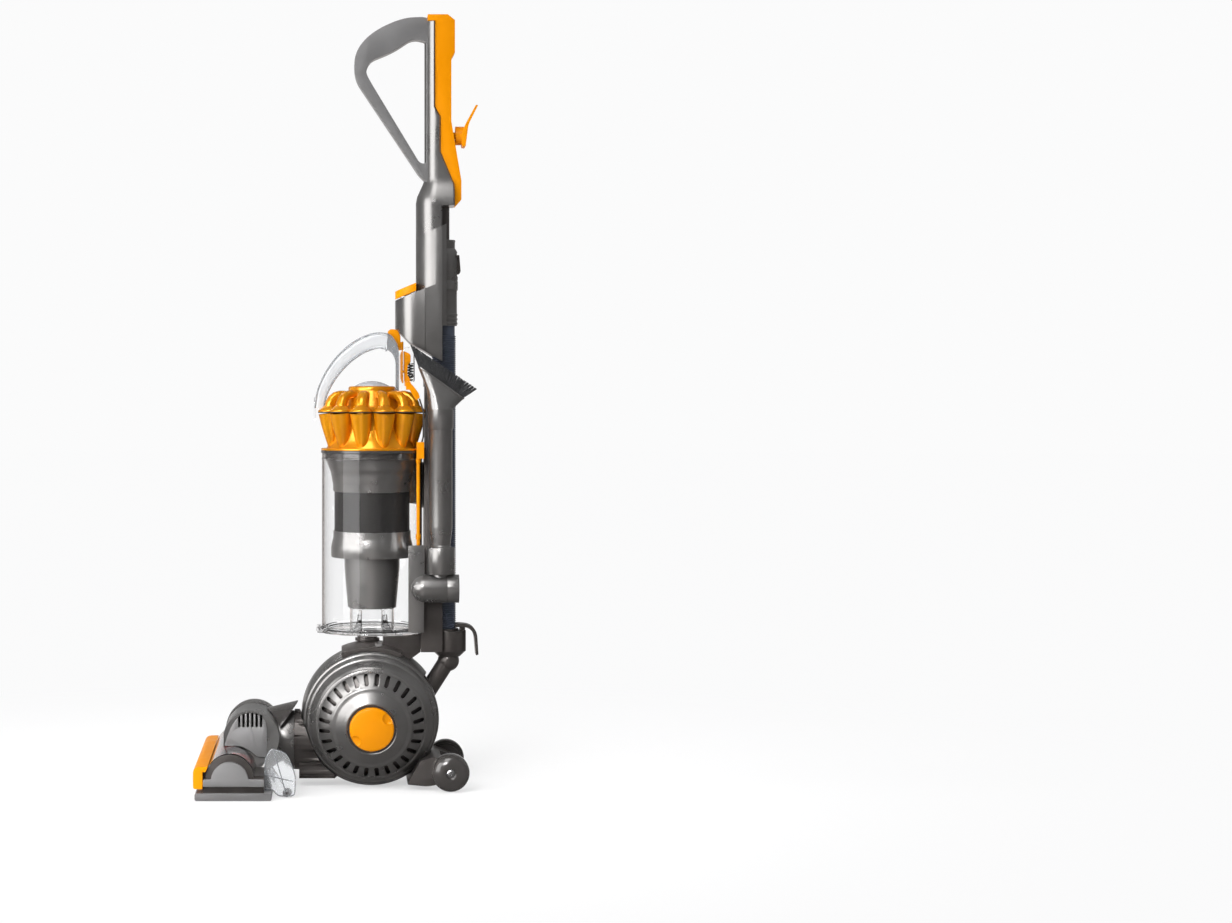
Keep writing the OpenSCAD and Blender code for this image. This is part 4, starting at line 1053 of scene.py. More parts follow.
@dataclass
class DustBin(Assembly):
    """Clear bin, dark slotted ring, shroud with its mesh, cone and the hinged foot."""

    radius: float = BIN_R
    port_from: float = 157.0
    port_wide: float = 11.0
    hinge_y: float = -27.0
    hinge_z: float = 217.4
    ribs: int = 6
    rib_half: float = 0.8
    bars: int = 12
    bar_half: float = 2.2
    slot_pairs: int = 12

    def shell(self) -> None:
        """Makes the clear wall with its beads, the inlet port and the moulded hinge bosses."""
        r = self.radius
        form = Form("bin_wall")
        form.lathe([(r - 2.4, 214.2), (r + 0.8, 214.2), (r + 1.0, 214.8), (r + 1.0, 217.4), (r + 0.2, 218.4),
                    (r, 219.4), (r, 452.6), (r + 0.5, 453.4), (r + 0.5, 455.0), (r, 455.8), (r, 461.6),
                    (r - 0.4, 462.0), (r - 2.2, 462.0), (r - 2.4, 461.4)],
                   bin_frame(), 160, shut=True)
        wall = form.done(self.palette, "clear_plastic", "bin", "bin_shell", smooth=30)
        port = Form("port_tool")
        port.lathe([(60, 392), (80, 392), (80, 442), (60, 442)], bin_frame(), 12, shut=True,
                   start=math.radians(self.port_from), turn=math.radians(self.port_wide))
        cut(wall, port, 30)
        notch = Form("hinge_tool")
        notch.slab([(-16, -34), (16, -34), (16, -23.6), (-16, -23.6)], 213, 222)
        cut(wall, notch, 30)
        bosses = Form("bin_hinge_bosses")
        for side in (-1, 1):
            bosses.slab(rounded([(-31, 214.4, 2), (-31, 220.6, 2.6), (-24.4, 220.6, 1), (-22.6, 226, 1),
                                 (-22.6, 215, 0)], 4),
                        side * 22 - 5.6, side * 22 + 5.6, on_side())
        bosses.bevel_sharp(0.4)
        bosses.done(self.palette, "clear_plastic", "bin")

    def foot(self) -> None:
        """Makes the clear foot: a dished plate, a seal, the cone's socket, ribs and the hinge."""
        form = Form("bin_foot")
        form.lathe([(0.5, 211.4), (52, 211.4), (66, 211.3), (69.6, 211.6), (70, 212.4), (69.6, 213.7),
                    (66.2, 213.9), (66.0, 219), (64.6, 219.6), (62.8, 219), (62.4, 214.6), (40, 214.4),
                    (31.2, 214.6), (31.0, 243.6), (30.4, 244.2), (28.4, 244.0), (28.0, 214.6), (0.5, 214.2)],
                   bin_frame(), 120)
        for k in range(self.ribs):
            turn = (bin_frame() @ Matrix.Rotation(math.tau * (k + 0.5) / self.ribs, 4, "Z")
                    @ Matrix.Rotation(math.pi / 2, 4, "X"))
            blade = [(30.4, 214.2), (62.0, 214.2), (62.0, 217.4), (57, 217.8), (50, 219.6), (44, 223.6),
                     (40.2, 230), (39.4, 237.6), (37.8, 237.8), (33.6, 236), (30.4, 237)]
            form.slab(blade, -self.rib_half, self.rib_half, turn)
        form.done(self.palette, "clear_plastic", "bin_base", "bin_base", smooth=35)
        hinge = Form("bin_foot_hinge")
        hinge.tube([(x, self.hinge_y, self.hinge_z) for x in (-14.6, 14.6)], 3.0, 24)
        hinge.slab(rounded([(-30.0, 211.4, 1.5), (-30.0, 219, 2), (-26.8, 219.6, 1), (-25, 214, 1),
                            (-19, 213.8, 0), (-19, 211.4, 0)], 4),
                   -14.4, 14.4, on_side())
        hinge.done(self.palette, "clear_plastic", "bin_base")
        pin = Form("bin_foot_pin")
        pin.tube([(x, self.hinge_y, self.hinge_z) for x in (-27, 27)], 1.5, 20)
        pin.done(self.palette, "silver_metal", "bin_base")
        seal = Form("bin_foot_seal")
        seal.lathe([(65.6, 215.4), (66.4, 215.7), (66.4, 216.5), (65.6, 216.8)], bin_frame(), 120, shut=True)
        seal.done(self.palette, "seal_black", "bin_base")

    def ring(self) -> None:
        """Makes the dark ring under the cyclones, with pairs of raised nibs."""
        form = Form("slotted_ring")
        form.lathe([(62, 462.2), (71.0, 462.2), (71.4, 462.6), (71.4, 465.6), (71.0, 466.0), (66.3, 466.0),
                    (62, 466.0)], bin_frame(), 120, shut=True)
        form.lathe([(66.3, 454), (67.2, 454), (67.2, 462.6), (66.3, 462.6)], bin_frame(), 120, shut=True)
        for k in range(self.slot_pairs):
            for low, high in ((4.0, 12.5), (17.5, 26.0)):
                form.lathe([(71.2, 463.0), (71.75, 463.1), (71.75, 465.1), (71.2, 465.2)], bin_frame(), 4,
                           shut=True,
                           start=math.radians(360.0 / self.slot_pairs * k + low),
                           turn=math.radians(high - low))
        form.done(self.palette, "gloss_dark", "bin", "outlet_ring", smooth=35)

    def shroud(self) -> None:
        """Makes the grey shroud: a flared top, a cage of bars behind the mesh and a stepped lower ring."""
        form = Form("shroud_top")
        form.lathe([(66.0, 457), (66.2, 455.8), (66.2, 453.8), (65.0, 452.6), (61.2, 442.0), (58.9, 435.4),
                    (58.3, 434.8), (57.0, 428), (55.4, 418.6), (54.9, 417.6), (54.9, 409.0), (54.3, 407.2),
                    (52.4, 407.0), (52.2, 417), (57, 436), (63.6, 453.8), (63.6, 457)],
                   bin_frame(), 120, shut=True)
        form.lathe([(51.0, 352.0), (54.2, 352.0), (54.4, 351.0), (54.4, 342.6), (55.0, 340.8), (57.0, 332),
                    (57.5, 329.0), (57.5, 317.0), (57.0, 316.0), (55.2, 316.2), (54.8, 329), (51.4, 341)],
                    bin_frame(), 120, shut=True)
        for k in range(self.bars):
            form.slab([(49.4, -self.bar_half), (51.2, -self.bar_half), (51.2, self.bar_half),
                       (49.4, self.bar_half)],
                      340.5, 417.6, bin_frame() @ Matrix.Rotation(math.tau * (k + 0.5) / self.bars, 4, "Z"))
        form.done(self.palette, "iron_satin", "bin", "shroud", smooth=35)
        net = Form("shroud_mesh")
        net.lathe([(51.9, 351.6), (52.7, 351.6), (52.7, 407.4), (51.9, 407.4)], bin_frame(), 144, shut=True)
        net.done(self.palette, "steel_mesh", "bin", "mesh", smooth=40)

    def cone(self) -> None:
        """Makes the inner cone that the cyclones drop their dust into."""
        form = Form("dust_cone")
        form.lathe([(62.8, 457.4), (62.8, 454.6), (48.2, 416), (48.0, 400), (39.2, 330), (38.9, 316),
                    (38.7, 300), (36.2, 270), (34.4, 250), (34.0, 245.2), (33.2, 244.8), (32.0, 245.2),
                    (36.9, 316), (37.0, 330), (46.0, 400), (46.0, 416), (60.4, 454.6), (60.4, 457.4)],
                   bin_frame(), 120, shut=True)
        form.done(self.palette, "iron_satin", "bin", "inner_cone", smooth=35)

    def build(self) -> None:
        """Makes the bin and everything in it."""
        self.shell()
        self.foot()
        self.ring()
        self.shroud()
        self.cone()


# ---------------------------------------------------------------- bin handle and its catch
@dataclass
class BinHandle(Assembly):
    """The clear carrying arch with its catch works behind."""

    spine: tuple[Point, ...] = (
        (0, -27.5, 524), (0, -22.5, 548), (0, -11, 571), (0, 5, 591.5), (0, 24, 607.5), (0, 42, 616.5),
        (0, 56, 619.5), (0, 67.5, 618.0))
    rail_r: float = 1.25
    plate_in: float = 11.4
    plate_out: float = 14.6
    web_half: float = 21.8
    cheek_out: float = 23.8
    spring_r: float = 3.0
    spring_turns: int = 6
    rod: Flat = (40.0, 110.0)
    rod_r: float = 2.5
    rod_ends: Flat = (226.0, 478.0)
    collars: tuple[Flat, ...] = ((347, 4), (452, 3))

    def arch(self) -> None:
        """Makes a clear, softly squared beam from the front clip over to the catch bracket."""
        spine = smooth_path(self.spine, 6)
        form = Form("bin_handle_arch")
        rings, rails = [], [[], [], [], []]
        for k, p in enumerate(spine):
            t = k / (len(spine) - 1)
            ahead = (spine[min(k + 1, len(spine) - 1)] - spine[max(k - 1, 0)]).normalized()
            normal = Vector((0, -ahead.z, ahead.y))
            wide = 12.6 + 2.0 * t
            tall = 6.6 + 4.4 * math.sin(math.pi * min(1.0, t * 1.15) * 0.52)
            rings.append(oval(p, Vector((wide, 0, 0)), normal * tall, 0.55, 28))
            for rail, (across, up) in zip(rails, ((-1, -1), (-1, 1), (1, -1), (1, 1))):
                rail.append(p + Vector((across * (wide - 1.2), 0, 0)) + normal * up * (tall - 0.9))
        form.ring_loft(rings)
        form.done(self.palette, "clear_beam", "bin", "bin_handle", smooth=50)
        # The arch's edge rails and end plates get the darker clear finish: painted shade along the arch's
        # edges.
        edges = Form("bin_handle_edges")
        for rail in rails:
            edges.tube(rail, self.rail_r, 10)
        for side in (-1, 1):
            edges.slab(rounded([(67.7, 629.0, 1), (74.0, 626.8, 6), (81.6, 615, 5), (84.0, 604, 3),
                                (84.0, 547, 1), (79.8, 547, 1), (79.8, 592, 6), (75.5, 602, 6),
                                (67.7, 607.4, 1)], 5),
                                *mirrored(side, self.plate_in, self.plate_out), on_side())
        edges.tube([(x, 66.5, 606.0) for x in (-self.plate_out, self.plate_out)], 1.6, 12)
        edges.done(self.palette, "clear_edge", "bin")
        foot = Form("bin_handle_foot")
        outline = rounded([(-12, 508, 11), (12, 508, 11), (13, 528, 3), (10, 540, 5), (-10, 540, 5),
                           (-13, 528, 3)], 6)
        foot.slab(outline, -34.6, -31.9, Matrix(((1, 0, 0, 0), (0, 0, 1, 0), (0, 1, 0, 0), (0, 0, 0, 1))))
        foot.bevel_sharp(0.8)
        foot.done(self.palette, "clear_plastic", "bin")

    def bracket(self) -> None:
        """Makes two clear cheeks, a back web and ribs that hold the catch's links."""
        form = Form("catch_bracket")
        for side in (-1, 1):
            cheek = rounded([(84.2, 537, 1), (84.2, 596, 4), (88, 606, 5), (99, 610.5, 4), (105.6, 604, 4),
                             (105.6, 562, 2), (100, 556, 2), (100, 537, 1)], 5)
            if side > 0:
                cheek = rounded([(84.2, 562, 1), (84.2, 596, 4), (88, 606, 5), (99, 610.5, 4),
                                 (105.6, 604, 4), (105.6, 562, 2)], 5)
            form.slab(cheek, *mirrored(side, self.web_half, self.cheek_out), on_side())
        web = (-self.web_half, self.web_half)
        form.slab([(104.0, 562), (105.6, 562), (105.6, 606), (104.0, 606)], *web, on_side())
        for z in (570, 586):
            form.slab([(100.4, z), (104.2, z), (104.2, z + 1.6), (100.4, z + 1.6)], *web, on_side())
        for side in (-1, 1):
            form.slab([(84.2, 608), (99, 609), (99, 610.6), (84.2, 610)], *mirrored(side, 11, self.web_half),
                      on_side())
        form.slab([(84.4, 537), (88.0, 537), (88.0, 545.6), (84.4, 545.6)], -21.8, 20.8, on_side())
        form.slab([(84.4, 537), (88.0, 537), (88.0, 562), (84.4, 562)], 18.4, 20.8, on_side())
        form.bevel_sharp(0.35)
        form.done(self.palette, "clear_plastic", "bin", smooth=30)
        spring = Form("catch_spring")
        path = []
        for n in range(20 * self.spring_turns + 1):
            a = math.tau * n / 20
            path.append((self.spring_r * math.cos(a), 99.4 + self.spring_r * math.sin(a),
                         565 + 22 * n / (20 * self.spring_turns)))
        spring.tube(path, 0.95, 8)
        spring.done(self.palette, "seal_black", "bin")

    def trigger(self) -> None:
        """Makes the yellow cap under the thumb, with its grip ridges and the bar behind."""
        form = Form("bin_trigger")
        form.slab(rounded([(69, 624, 1), (68.6, 632.5, 2), (72.5, 635.6, 3), (82.0, 634.5, 3), (86.3, 626, 3),
                           (86.3, 606, 1), (84, 606, 1), (79, 616, 3)], 6),
                  -10, 10, on_side())
        form.slab([(88.4, 560), (90.4, 560), (90.4, 618), (88.4, 618)], -8.8, 8.8, on_side())
        form.slab([(85.2, 606.5), (90.4, 606.5), (90.4, 617.5), (85.2, 617.5)], -8.8, 8.8, on_side())
        form.slab([(90.2, 575), (95.0, 575), (95.0, 578), (90.2, 578)], -3.2, 3.2, on_side())
        form.bevel_sharp(0.7)
        for k in range(3):
            form.tube([(-8, 79.6 + 2.1 * k, 633.3 - 3.2 * k), (8, 79.6 + 2.1 * k, 633.3 - 3.2 * k)], 0.55, 8)
        form.done(self.palette, "yellow_gloss", "trigger", "trigger", smooth=35)

    def release(self) -> None:
        """Makes the yellow release rod beside the bin, its block, bridge and links."""
        form = Form("bin_release_rod")
        form.tube([(*self.rod, z) for z in self.rod_ends], self.rod_r, 20)
        for z, half in self.collars:
            form.tube([(*self.rod, z + step) for step in (-half, 0.8 - half, half - 0.8, half)],
                      [2.9, 3.4, 3.4, 2.9], 20)
        form.slab([(36, 109), (48, 109), (48, 118), (36, 118)], 455, 478)
        for x in (-8, 4):
            form.slab(rounded([(92.2, 558, 0), (92.2, 604, 2), (99.8, 600, 3), (99.8, 590, 2), (96, 584, 2),
                               (96, 572, 2), (99.8, 566, 2), (99.8, 558, 0)], 4),
                      x, x + 4, on_side())
        form.slab([(-8, 92.2), (42.4, 92.2), (42.4, 99.8), (-8, 99.8)], 555.8, 560.6)
        form.slab(rounded([(93.0, 557.6, 1), (97.5, 561.0, 2), (103.0, 556.0, 3), (110.4, 546.0, 2),
                           (112.4, 540.0, 1), (107.4, 535.0, 1), (103.6, 541.0, 2), (98.0, 550.4, 1),
                           (93.0, 550.4, 1)], 5), 37.6, 42.4, on_side())
        form.bevel_sharp(0.6)
        form.done(self.palette, "yellow_gloss", "release_rod", "release_rod", smooth=35)
        link = Form("release_link")
        link.tube([(42, 114.5, 476), (42, 117.0, 486), (41, 117.4, 520), (40, 111.6, 538)], 1.2, 12)
        link.done(self.palette, "dark_plastic", "release_rod", smooth=45)

    def build(self) -> None:
        """Makes arch, bracket, trigger and rod."""
        self.arch()
        self.bracket()
        self.trigger()
        self.release()


# ---------------------------------------------------------------- wand, housing and hose
@dataclass
class UpperWorks(Assembly):
    """Handle, its cover and cable hook, the housing with its two buttons, the cuff and the hose."""

    grip_half: float = 12.0
    shaft_half: float = 28.0
    neck_half: float = 19.0
    shaft_front: float = 108.0
    hose_low: float = 200.0
    hose_high: float = 640.0
    hose_pitch: float = 2.9
    hose_r: float = 17.0
    hose_plain: float = 12.0
    cuff_y: float = HOSE_Y - 0.2
    panel_r: float = 20.25

    def grip(self) -> None:
        """Makes the loop: a rounded dark beam from the handle's top down to its neck."""
        outer = rounded([(134, 1064.5, 2), (121, 1071.2, 8), (88, 1070, 30), (44, 1049, 24), (21, 1020, 24),
                         (22.5, 984, 14), (112, 850, 4), (124, 838, 2), (134, 838, 0)], 8)
        inner = rounded([(122, 1037, 5), (103, 1041, 10), (76, 1023, 14), (44, 1010, 8), (37, 995, 8),
                         (44, 981, 8), (113, 867, 6), (122, 866, 4)], 8)
        form = Form("grip_loop")
        form.slab(outer, -self.grip_half, self.grip_half, on_side())
        loop = form.done(self.palette, "iron_pale", "wand", "handle", smooth=40)
        hole = Form("grip_tool")
        hole.slab(inner, -self.grip_half - 2, self.grip_half + 2, on_side())
        cut(loop, hole, 40)
        round_edges(loop, 5.2, 4)

    def shaft(self) -> None:
        """Makes the handle's shaft: a half-round column that narrows above the seam."""
        wide, narrow, front = self.shaft_half, self.neck_half, self.shaft_front
        rows = [(763.0, wide, front, 144.0), (806.6, wide, front, 144.0), (807.2, wide, front, 161.2),
                (811.0, wide, front, 161.2), (820, 26.6, 109.6, 161.2), (832, 22.2, 115.0, 161.2),
                (837, 20.6, 117.3, 161.2), (842, 19.4, 119.2, 159.1), (848, narrow, 120.0, 156.6),
                (882, narrow, 120.0, 142.2), (931, narrow, 120.0, 142.2), (945, narrow, 120.0, 134.2),
                (1000, narrow, 120.0, 134.2), (1064.6, narrow, 120.0, 134.2)]
        rings = []
        for z, half, near, back in rows:
            ring = []
            for n in range(25):
                a = math.pi * n / 24
                ring.append(Vector((-half * math.cos(a), min(near + half - half * math.sin(a), back - 1.0),
                                    z)))
            for x, inset in ((half, 2.0), (half - 2.0, 0.0), (2.0 - half, 0.0), (-half, 2.0)):
                ring.append(Vector((x, back - inset, z)))
            rings.append(ring)
        for v in rings[0]:
            v.z = 762.5 + max(0.0, v.y - front) * 16.5 / 36.0
        form = Form("handle_shaft")
        form.ring_loft(rings)
        form.done(self.palette, "iron_satin", "wand", smooth=42)

    def hose(self) -> None:
        """Makes the stretch hose: one rounded rib after another, held taut between socket and cuff."""
        low, high, plain = self.hose_low, self.hose_high, self.hose_plain
        pitch, r = self.hose_pitch, self.hose_r
        profile: list[Flat] = [(13.0, low), (r - 1.5, low), (r - 1.5, low + plain)]
        z = low + plain
        while z + pitch < high - plain:
            profile += [(r - 1.45, z), (r - 0.5, z + 0.35), (r - 0.02, z + 0.9), (r, z + 1.3),
                        (r - 0.02, z + 1.7), (r - 0.5, z + 2.2), (r - 1.45, z + 2.55)]
            z += pitch
        profile += [(r - 1.5, high - plain), (r - 1.5, high), (13.0, high)]
        form = Form("stretch_hose")
        form.lathe(profile, Matrix.Translation((0, HOSE_Y, 0)), 56, shut=True)
        obj = form.done(self.palette, "hose_blue", "body", "hose", smooth=60)

    def cuff(self) -> None:
        """Makes the hose's cuff: ribs at its foot, a stepped collar, a pocket and two dark panels."""
        form = Form("hose_cuff")
        profile: list[Flat] = [(13.2, 640), (18.6, 640)]
        for k in range(3):
            z = 641.5 + 6.0 * k
            profile += [(18.8, z), (19.6, z + 0.8), (19.6, z + 2.9), (18.8, z + 3.7)]
        profile += [(18.8, 688.5), (19.2, 689.4), (20.0, 690.2), (20.0, 702), (19.6, 702.8), (19.6, 703.6),
                    (20.0, 704.4), (20.0, 738), (19.2, 743), (17.5, 746.5), (16.0, 748.2), (16.0, 756.6),
                    (16.4, 757.4), (16.4, 759.2), (15.8, 760.0), (13.2, 760.0)]
        form.lathe(profile, Matrix.Translation((0, self.cuff_y, 0)), 72, shut=True)
        cuff = form.done(self.palette, "iron_satin", "body", "cuff", smooth=38)
        pocket = Form("pocket_tool")
        pocket.slab([(-7, 160.5), (7, 160.5), (7, 180), (-7, 180)], 709, 742)
        cut(cuff, pocket, 38)
        bore = Form("bore_tool")
        bore.tube([(0, 143, 689), (0, 143, 765)], 12.3, 48)
        cut(cuff, bore, 38)
        for side in (-1, 1):
            panel = Form(f"cuff_panel_{side_name(side)}")
            rows = []
            for z, inset in ((709.5, 3.2), (712, 0.0), (738, 0.0), (744.5, 3.2)):
                row = []
                for n in range(11):
                    a = math.radians(-52 + inset + (90 - 2 * inset) * n / 10 * 0.62)
                    row.append((side * self.panel_r * math.cos(a), self.cuff_y + self.panel_r * math.sin(a),
                                z))
                rows.append(row)
            panel.ring_loft(rows, closed=False, capped=False)
            bmesh.ops.solidify(panel.bm, geom=panel.bm.faces[:], thickness=0.7)
            panel.done(self.palette, "gloss_dark", "body")

    def build(self) -> None:
        """Makes everything above and behind the bin."""
        self.grip()
        self.shaft()
        self.hose()
        self.cuff()
        housing = self.soften("upper_housing", "iron_satin", "body", 0.7)
        seam = Form("seam_tool")
        for side in (-1, 1):
            seam.slab([(119.7, 560), (120.5, 560), (120.5, 800), (119.7, 800)], *mirrored(side, 27.4, 32.0),
                      on_side())
        cut(housing, seam, 35)
        for node, finish, body, width in (
                ("handle_cover", "yellow_gloss", "wand", 1.6),
                ("cable_hook", "yellow_gloss", "cable_hook", 0.8),
                ("power_button", "yellow_gloss", "power_button", 0.8),
                ("brush_button", "clear_plastic", "brush_button", 0.8),
                ("cuff_lever", "dark_plastic", "cuff_lever", 0.6), ("spine", "dark_plastic", "body", 0.8),
                ("hose_socket", "dark_plastic", "body", 0.8), ("lower_hook", "dark_plastic", "body", 0.9),
                ("bin_seat", "dark_plastic", "body", 0.7), ("rod_guide", "iron_satin", "bin", 0.8)):
            self.soften(node, finish, body, width)


@dataclass
class CombinationTool(Assembly):
    """The stored tool: knuckle, tapered tube, slanted nozzle and its brush."""

    columns: int = 25
    rows: int = 3
    strands: int = 15
    row_pitch: float = 5.6
    strand_r: tuple[float, float, float] = (0.55, 0.55, 0.4)
    seed: int = 41

    def tube(self) -> None:
        """Makes the tube with its steps, the lower collar and the flattened nozzle."""
        form = Form("tool_tube")
        x, y = TOOL.x, TOOL.y
        form.lathe([(12.2, 295.4), (18.9, 295.4), (19.5, 296.2), (19.5, 331.2), (18.9, 332.4), (14.6, 333.4),
                    (13.2, 335.5), (15.9, 359.5), (16.0, 361), (16.0, 494.5), (16.6, 496), (17.5, 497.2),
                    (17.5, 523.0), (12.6, 523.0), (12.6, 330), (12.2, 328)],
                   Matrix.Translation((x, y, 0)), 56, shut=True)
        form.done(self.palette, "iron_satin", "tool", "combination_tool", smooth=38)
        nozzle = Form("tool_nozzle")
        rings = []
        for centre, lean, long, wide, power in (
                ((x, 141.0, 521.0), (0, 1.0, 0.0), 17.5, 17.5, 1.0),
                ((x - 2, 140.0, 537.0), (0, 0.81, -0.586), 22.2, 13.6, 0.85),
                ((x - 5, 141.0, 559.0), (0, 0.815, -0.579), 38.0, 9.8, 0.55),
                ((x - 5, 141.4, 559.6), (0, 0.815, -0.579), 38.9, 10.6, 0.5),
                ((x - 5, 142.4, 561.0), (0, 0.815, -0.579), 38.9, 10.6, 0.5)):
            rings.append(oval(Vector(centre), Vector(lean).normalized() * long, Vector((wide, 0, 0)), power,
                              36))
        nozzle.ring_loft(rings)
        nozzle.done(self.palette, "iron_satin", "tool", smooth=28)

    def brush(self) -> None:
        """Makes stiff dark bristles that fan out of the nozzle's slanted lip, in tufts."""
        rng = random.Random(self.seed)
        form = Form("tool_brush")
        root_a, root_b = Vector((0, 110.5, 582.5)), Vector((0, 172.6, 539.0))
        tip_a, tip_b = Vector((0, 98.5, 614.0)), Vector((0, 192.0, 551.5))
        for i in range(self.columns):
            for j in range(self.rows):
                u = (i + 0.5) / self.columns
                x = TOOL.x - 5 + (j - 1) * self.row_pitch
                for _ in range(self.strands):
                    du, dx = rng.uniform(-0.016, 0.016), rng.uniform(-1.6, 1.6)
                    root = root_a.lerp(root_b, u + du * 0.9) + Vector((x + dx * 0.7, 0, 0))
                    tip = tip_a.lerp(tip_b, min(1.0, max(0.0, u + du * 0.95))) + Vector((x + dx * 1.5, 0, 0))
                    tip = root + (tip - root) * rng.uniform(0.90, 1.0)
                    bend = (tip - root).cross(Vector((1, 0, 0))).normalized() * rng.uniform(-0.6, 0.6)
                    form.tube([root, (root + tip) / 2 + bend, tip], self.strand_r, 4, capped=False)
        form.done(self.palette, "bristle_black", "tool", "tool_bristles", smooth=60)

    def build(self) -> None:
        """Makes tool, nozzle and bristles."""
        self.tube()
        self.brush()
        self.soften("tool_holder", "iron_satin", "body", 0.7)


# ---------------------------------------------------------------- ball and stand
def on_sphere(radius: float, z: float) -> Flat:
    """Gives a sphere's (radius, z) at a distance along its axle."""
    return (math.sqrt(max(0.0, radius * radius - z * z)), z)


@dataclass
class Ball(Assembly):
    """Two tilted, terraced shells with their bearings, the fixed band, the cap and the stand."""

    slots: int = 28
    slot_ring: float = 65.0
    slot_reach: float = 4.75
    slot_r: float = 3.0
    rims: tuple[float, ...] = (43.5, 61.0, 81.0)
    terrace: float = 1.3
    wall: float = 4.3
    open_r: float = 33.9
    open_z: float = 90.4
    liner_z: float = 84.0
    wheel_at: Point = (84.0, 153.0, 26.0)

    @staticmethod
    def axle(side: int) -> Matrix:
        """Gives a shell's own frame, whose Z runs outwards along its axle."""
        return Matrix.Translation(BALL) @ Matrix.Rotation(side * (math.pi / 2 + TILT), 4, "Y")

    def outside(self) -> list[Flat]:
        """Draws the shell's terraced outline, as (radius, distance along the axle) from its inner edge."""
        body_r, edge = BALL_R - self.terrace, SHELL_EDGE
        profile = [on_sphere(BALL_R - 0.5, edge), on_sphere(BALL_R, edge + 0.7),
                   on_sphere(BALL_R, edge + 2.6), on_sphere(BALL_R - 0.5, edge + 3.4),
                   on_sphere(body_r - 0.5, edge + 4.2)]
        z = edge + 4.2
        for rim in self.rims:
            profile += [on_sphere(body_r, z + (rim - 1.4 - z) * k / 6) for k in range(1, 6)]
            for radius, step in ((body_r - 1.5, -1.0), (body_r - 1.2, -0.4), (BALL_R - 0.15, 0.0),
                                 (BALL_R, 0.5), (BALL_R, 1.5),
                                 (BALL_R - 0.4, 2.1), (body_r - 1.0, 2.7), (body_r - 0.9, 3.2),
                                 (body_r, 3.4)):
                profile.append(on_sphere(radius, rim + step))
            z = rim + 3.4
        return profile + [on_sphere(body_r, z + (self.open_z - z) * k / 4) for k in range(1, 5)]

    def shell(self, side: int) -> None:
        """Makes one shell, closed by its inner wall; the right one has a ring of air slots.

        Args:
            side: 1 for the right, -1 for the left.
        """
        name, outside = side_name(side), self.outside()
        if side > 0:
            outside += [(35.6, 91.3), (34.6, 91.5), (self.open_r, 91.0)]
            inside = [(self.open_r, 86.5)]
        else:
            outside += [(24.0, 94.8), (12.0, 97.0), (0.5, 97.7)]
            inside = [(0.5, 94.0), (12.0, 93.6), (24.0, 91.5)]
        deep = self.liner_z - SHELL_EDGE
        inside += [on_sphere(BALL_R - self.wall, self.liner_z - deep * k / 11) for k in range(12)]
        form = Form(f"shell_{name}")
        form.lathe(outside + inside, self.axle(side), 168, shut=side > 0)
        hub = Form(f"shell_{name}_hub")
        hub.lathe([(38.06, 57), (41.4, 57), (41.4, 86), (38.06, 86)], self.axle(side), 72, shut=True)
        shell = form.done(self.palette, "iron_satin", f"ball_{name}", f"ball_shell_{name}", smooth=38)
        hub.done(self.palette, "dark_plastic", f"ball_{name}")
        if side > 0:
            tool = Form("slot_tool")
            for k in range(self.slots):
                turn = self.axle(1) @ Matrix.Rotation(math.tau * (k + 0.5) / self.slots, 4, "Z")
                outline = []
                for n in range(20):
                    a = math.tau * n / 20
                    c, s = math.cos(a), math.sin(a)
                    outline.append((self.slot_ring + math.copysign(self.slot_reach, c) + self.slot_r * c,
                                    self.slot_r * s))
                tool.slab(outline, 55, 99, turn)
            cut(shell, tool, 38)
            self.round_slots(shell)

    def round_slots(self, shell: bpy.types.Object) -> None:
        """Rounds the slots' rims, and leaves the terraces as they are.

        Args:
            shell: the right shell, in metres.
        """
        bm, own = bmesh.new(), self.axle(1).inverted()
        bm.from_mesh(shell.data)
        rims = []
        for edge in bm.edges:
            middle = own @ ((edge.verts[0].co + edge.verts[1].co) / (2 * MM))
            beside = 58.8 < math.hypot(middle.x, middle.y) < 75.0 and middle.z > 60
            if beside and edge.calc_face_angle(0.0) > 0.5:
                rims.append(edge)
        bmesh.ops.bevel(bm, geom=rims, offset=0.55 * MM, segments=2, profile=0.6, affect="EDGES",
                        clamp_overlap=True, material=-1)
        bm.to_mesh(shell.data)
        bm.free()
        finish_shading(shell, 38)

    def cap(self) -> None:
        """Makes the yellow filter cap: a low dome with two finger scallops."""
        form = Form("cap_disc")
        form.lathe([(0.4, 97.7), (8, 97.5), (16, 96.6), (23, 95.2), (27.5, 93.9), (29.6, 93.0), (30.5, 91.8),
                    (30.5, 86.4), (26.6, 86.4), (26.6, 90.2), (0.4, 90.2)],
                   self.axle(1), 96)
        # The cap takes the darker yellow: painted shade, not a yellow of its own.
        cap = form.done(self.palette, "yellow_cap", "filter_cap", "filter_cap", smooth=40)
        tool = Form("scallop_tool")
        for turn in (35.0, 215.0):
            frame = self.axle(1) @ Matrix.Rotation(math.radians(turn), 4,
                                                   "Z") @ Matrix.Translation((0, 28.5, 96.0))
            tool.lathe([(0.01, -4.6), (3.0, -4.4), (6.0, -3.7), (8.0, -2.6), (9.0, -0.9), (9.4, 2.6),
                        (0.01, 2.6)], frame, 40)
        cut(cap, tool, 34)

    def insides(self) -> None:
        """Makes the dark lining behind the slots, with the radial ribs that show through them."""
        form = Form("slot_lining")
        form.lathe([(34.4, 66), (90, 36), (90, 38), (60, 66), (34.4, 70)], self.axle(1), 72, shut=True)
        for k in range(self.slots):
            turn = (self.axle(1) @ Matrix.Rotation(math.tau * k / self.slots, 4, "Z")
                    @ Matrix.Rotation(math.pi / 2, 4, "X"))
            form.slab([(52, 62), (74, 52), (74, 58), (58, 70), (52, 72)], -0.8, 0.8, turn)
        form.done(self.palette, "dark_plastic", "ball_right", smooth=35)

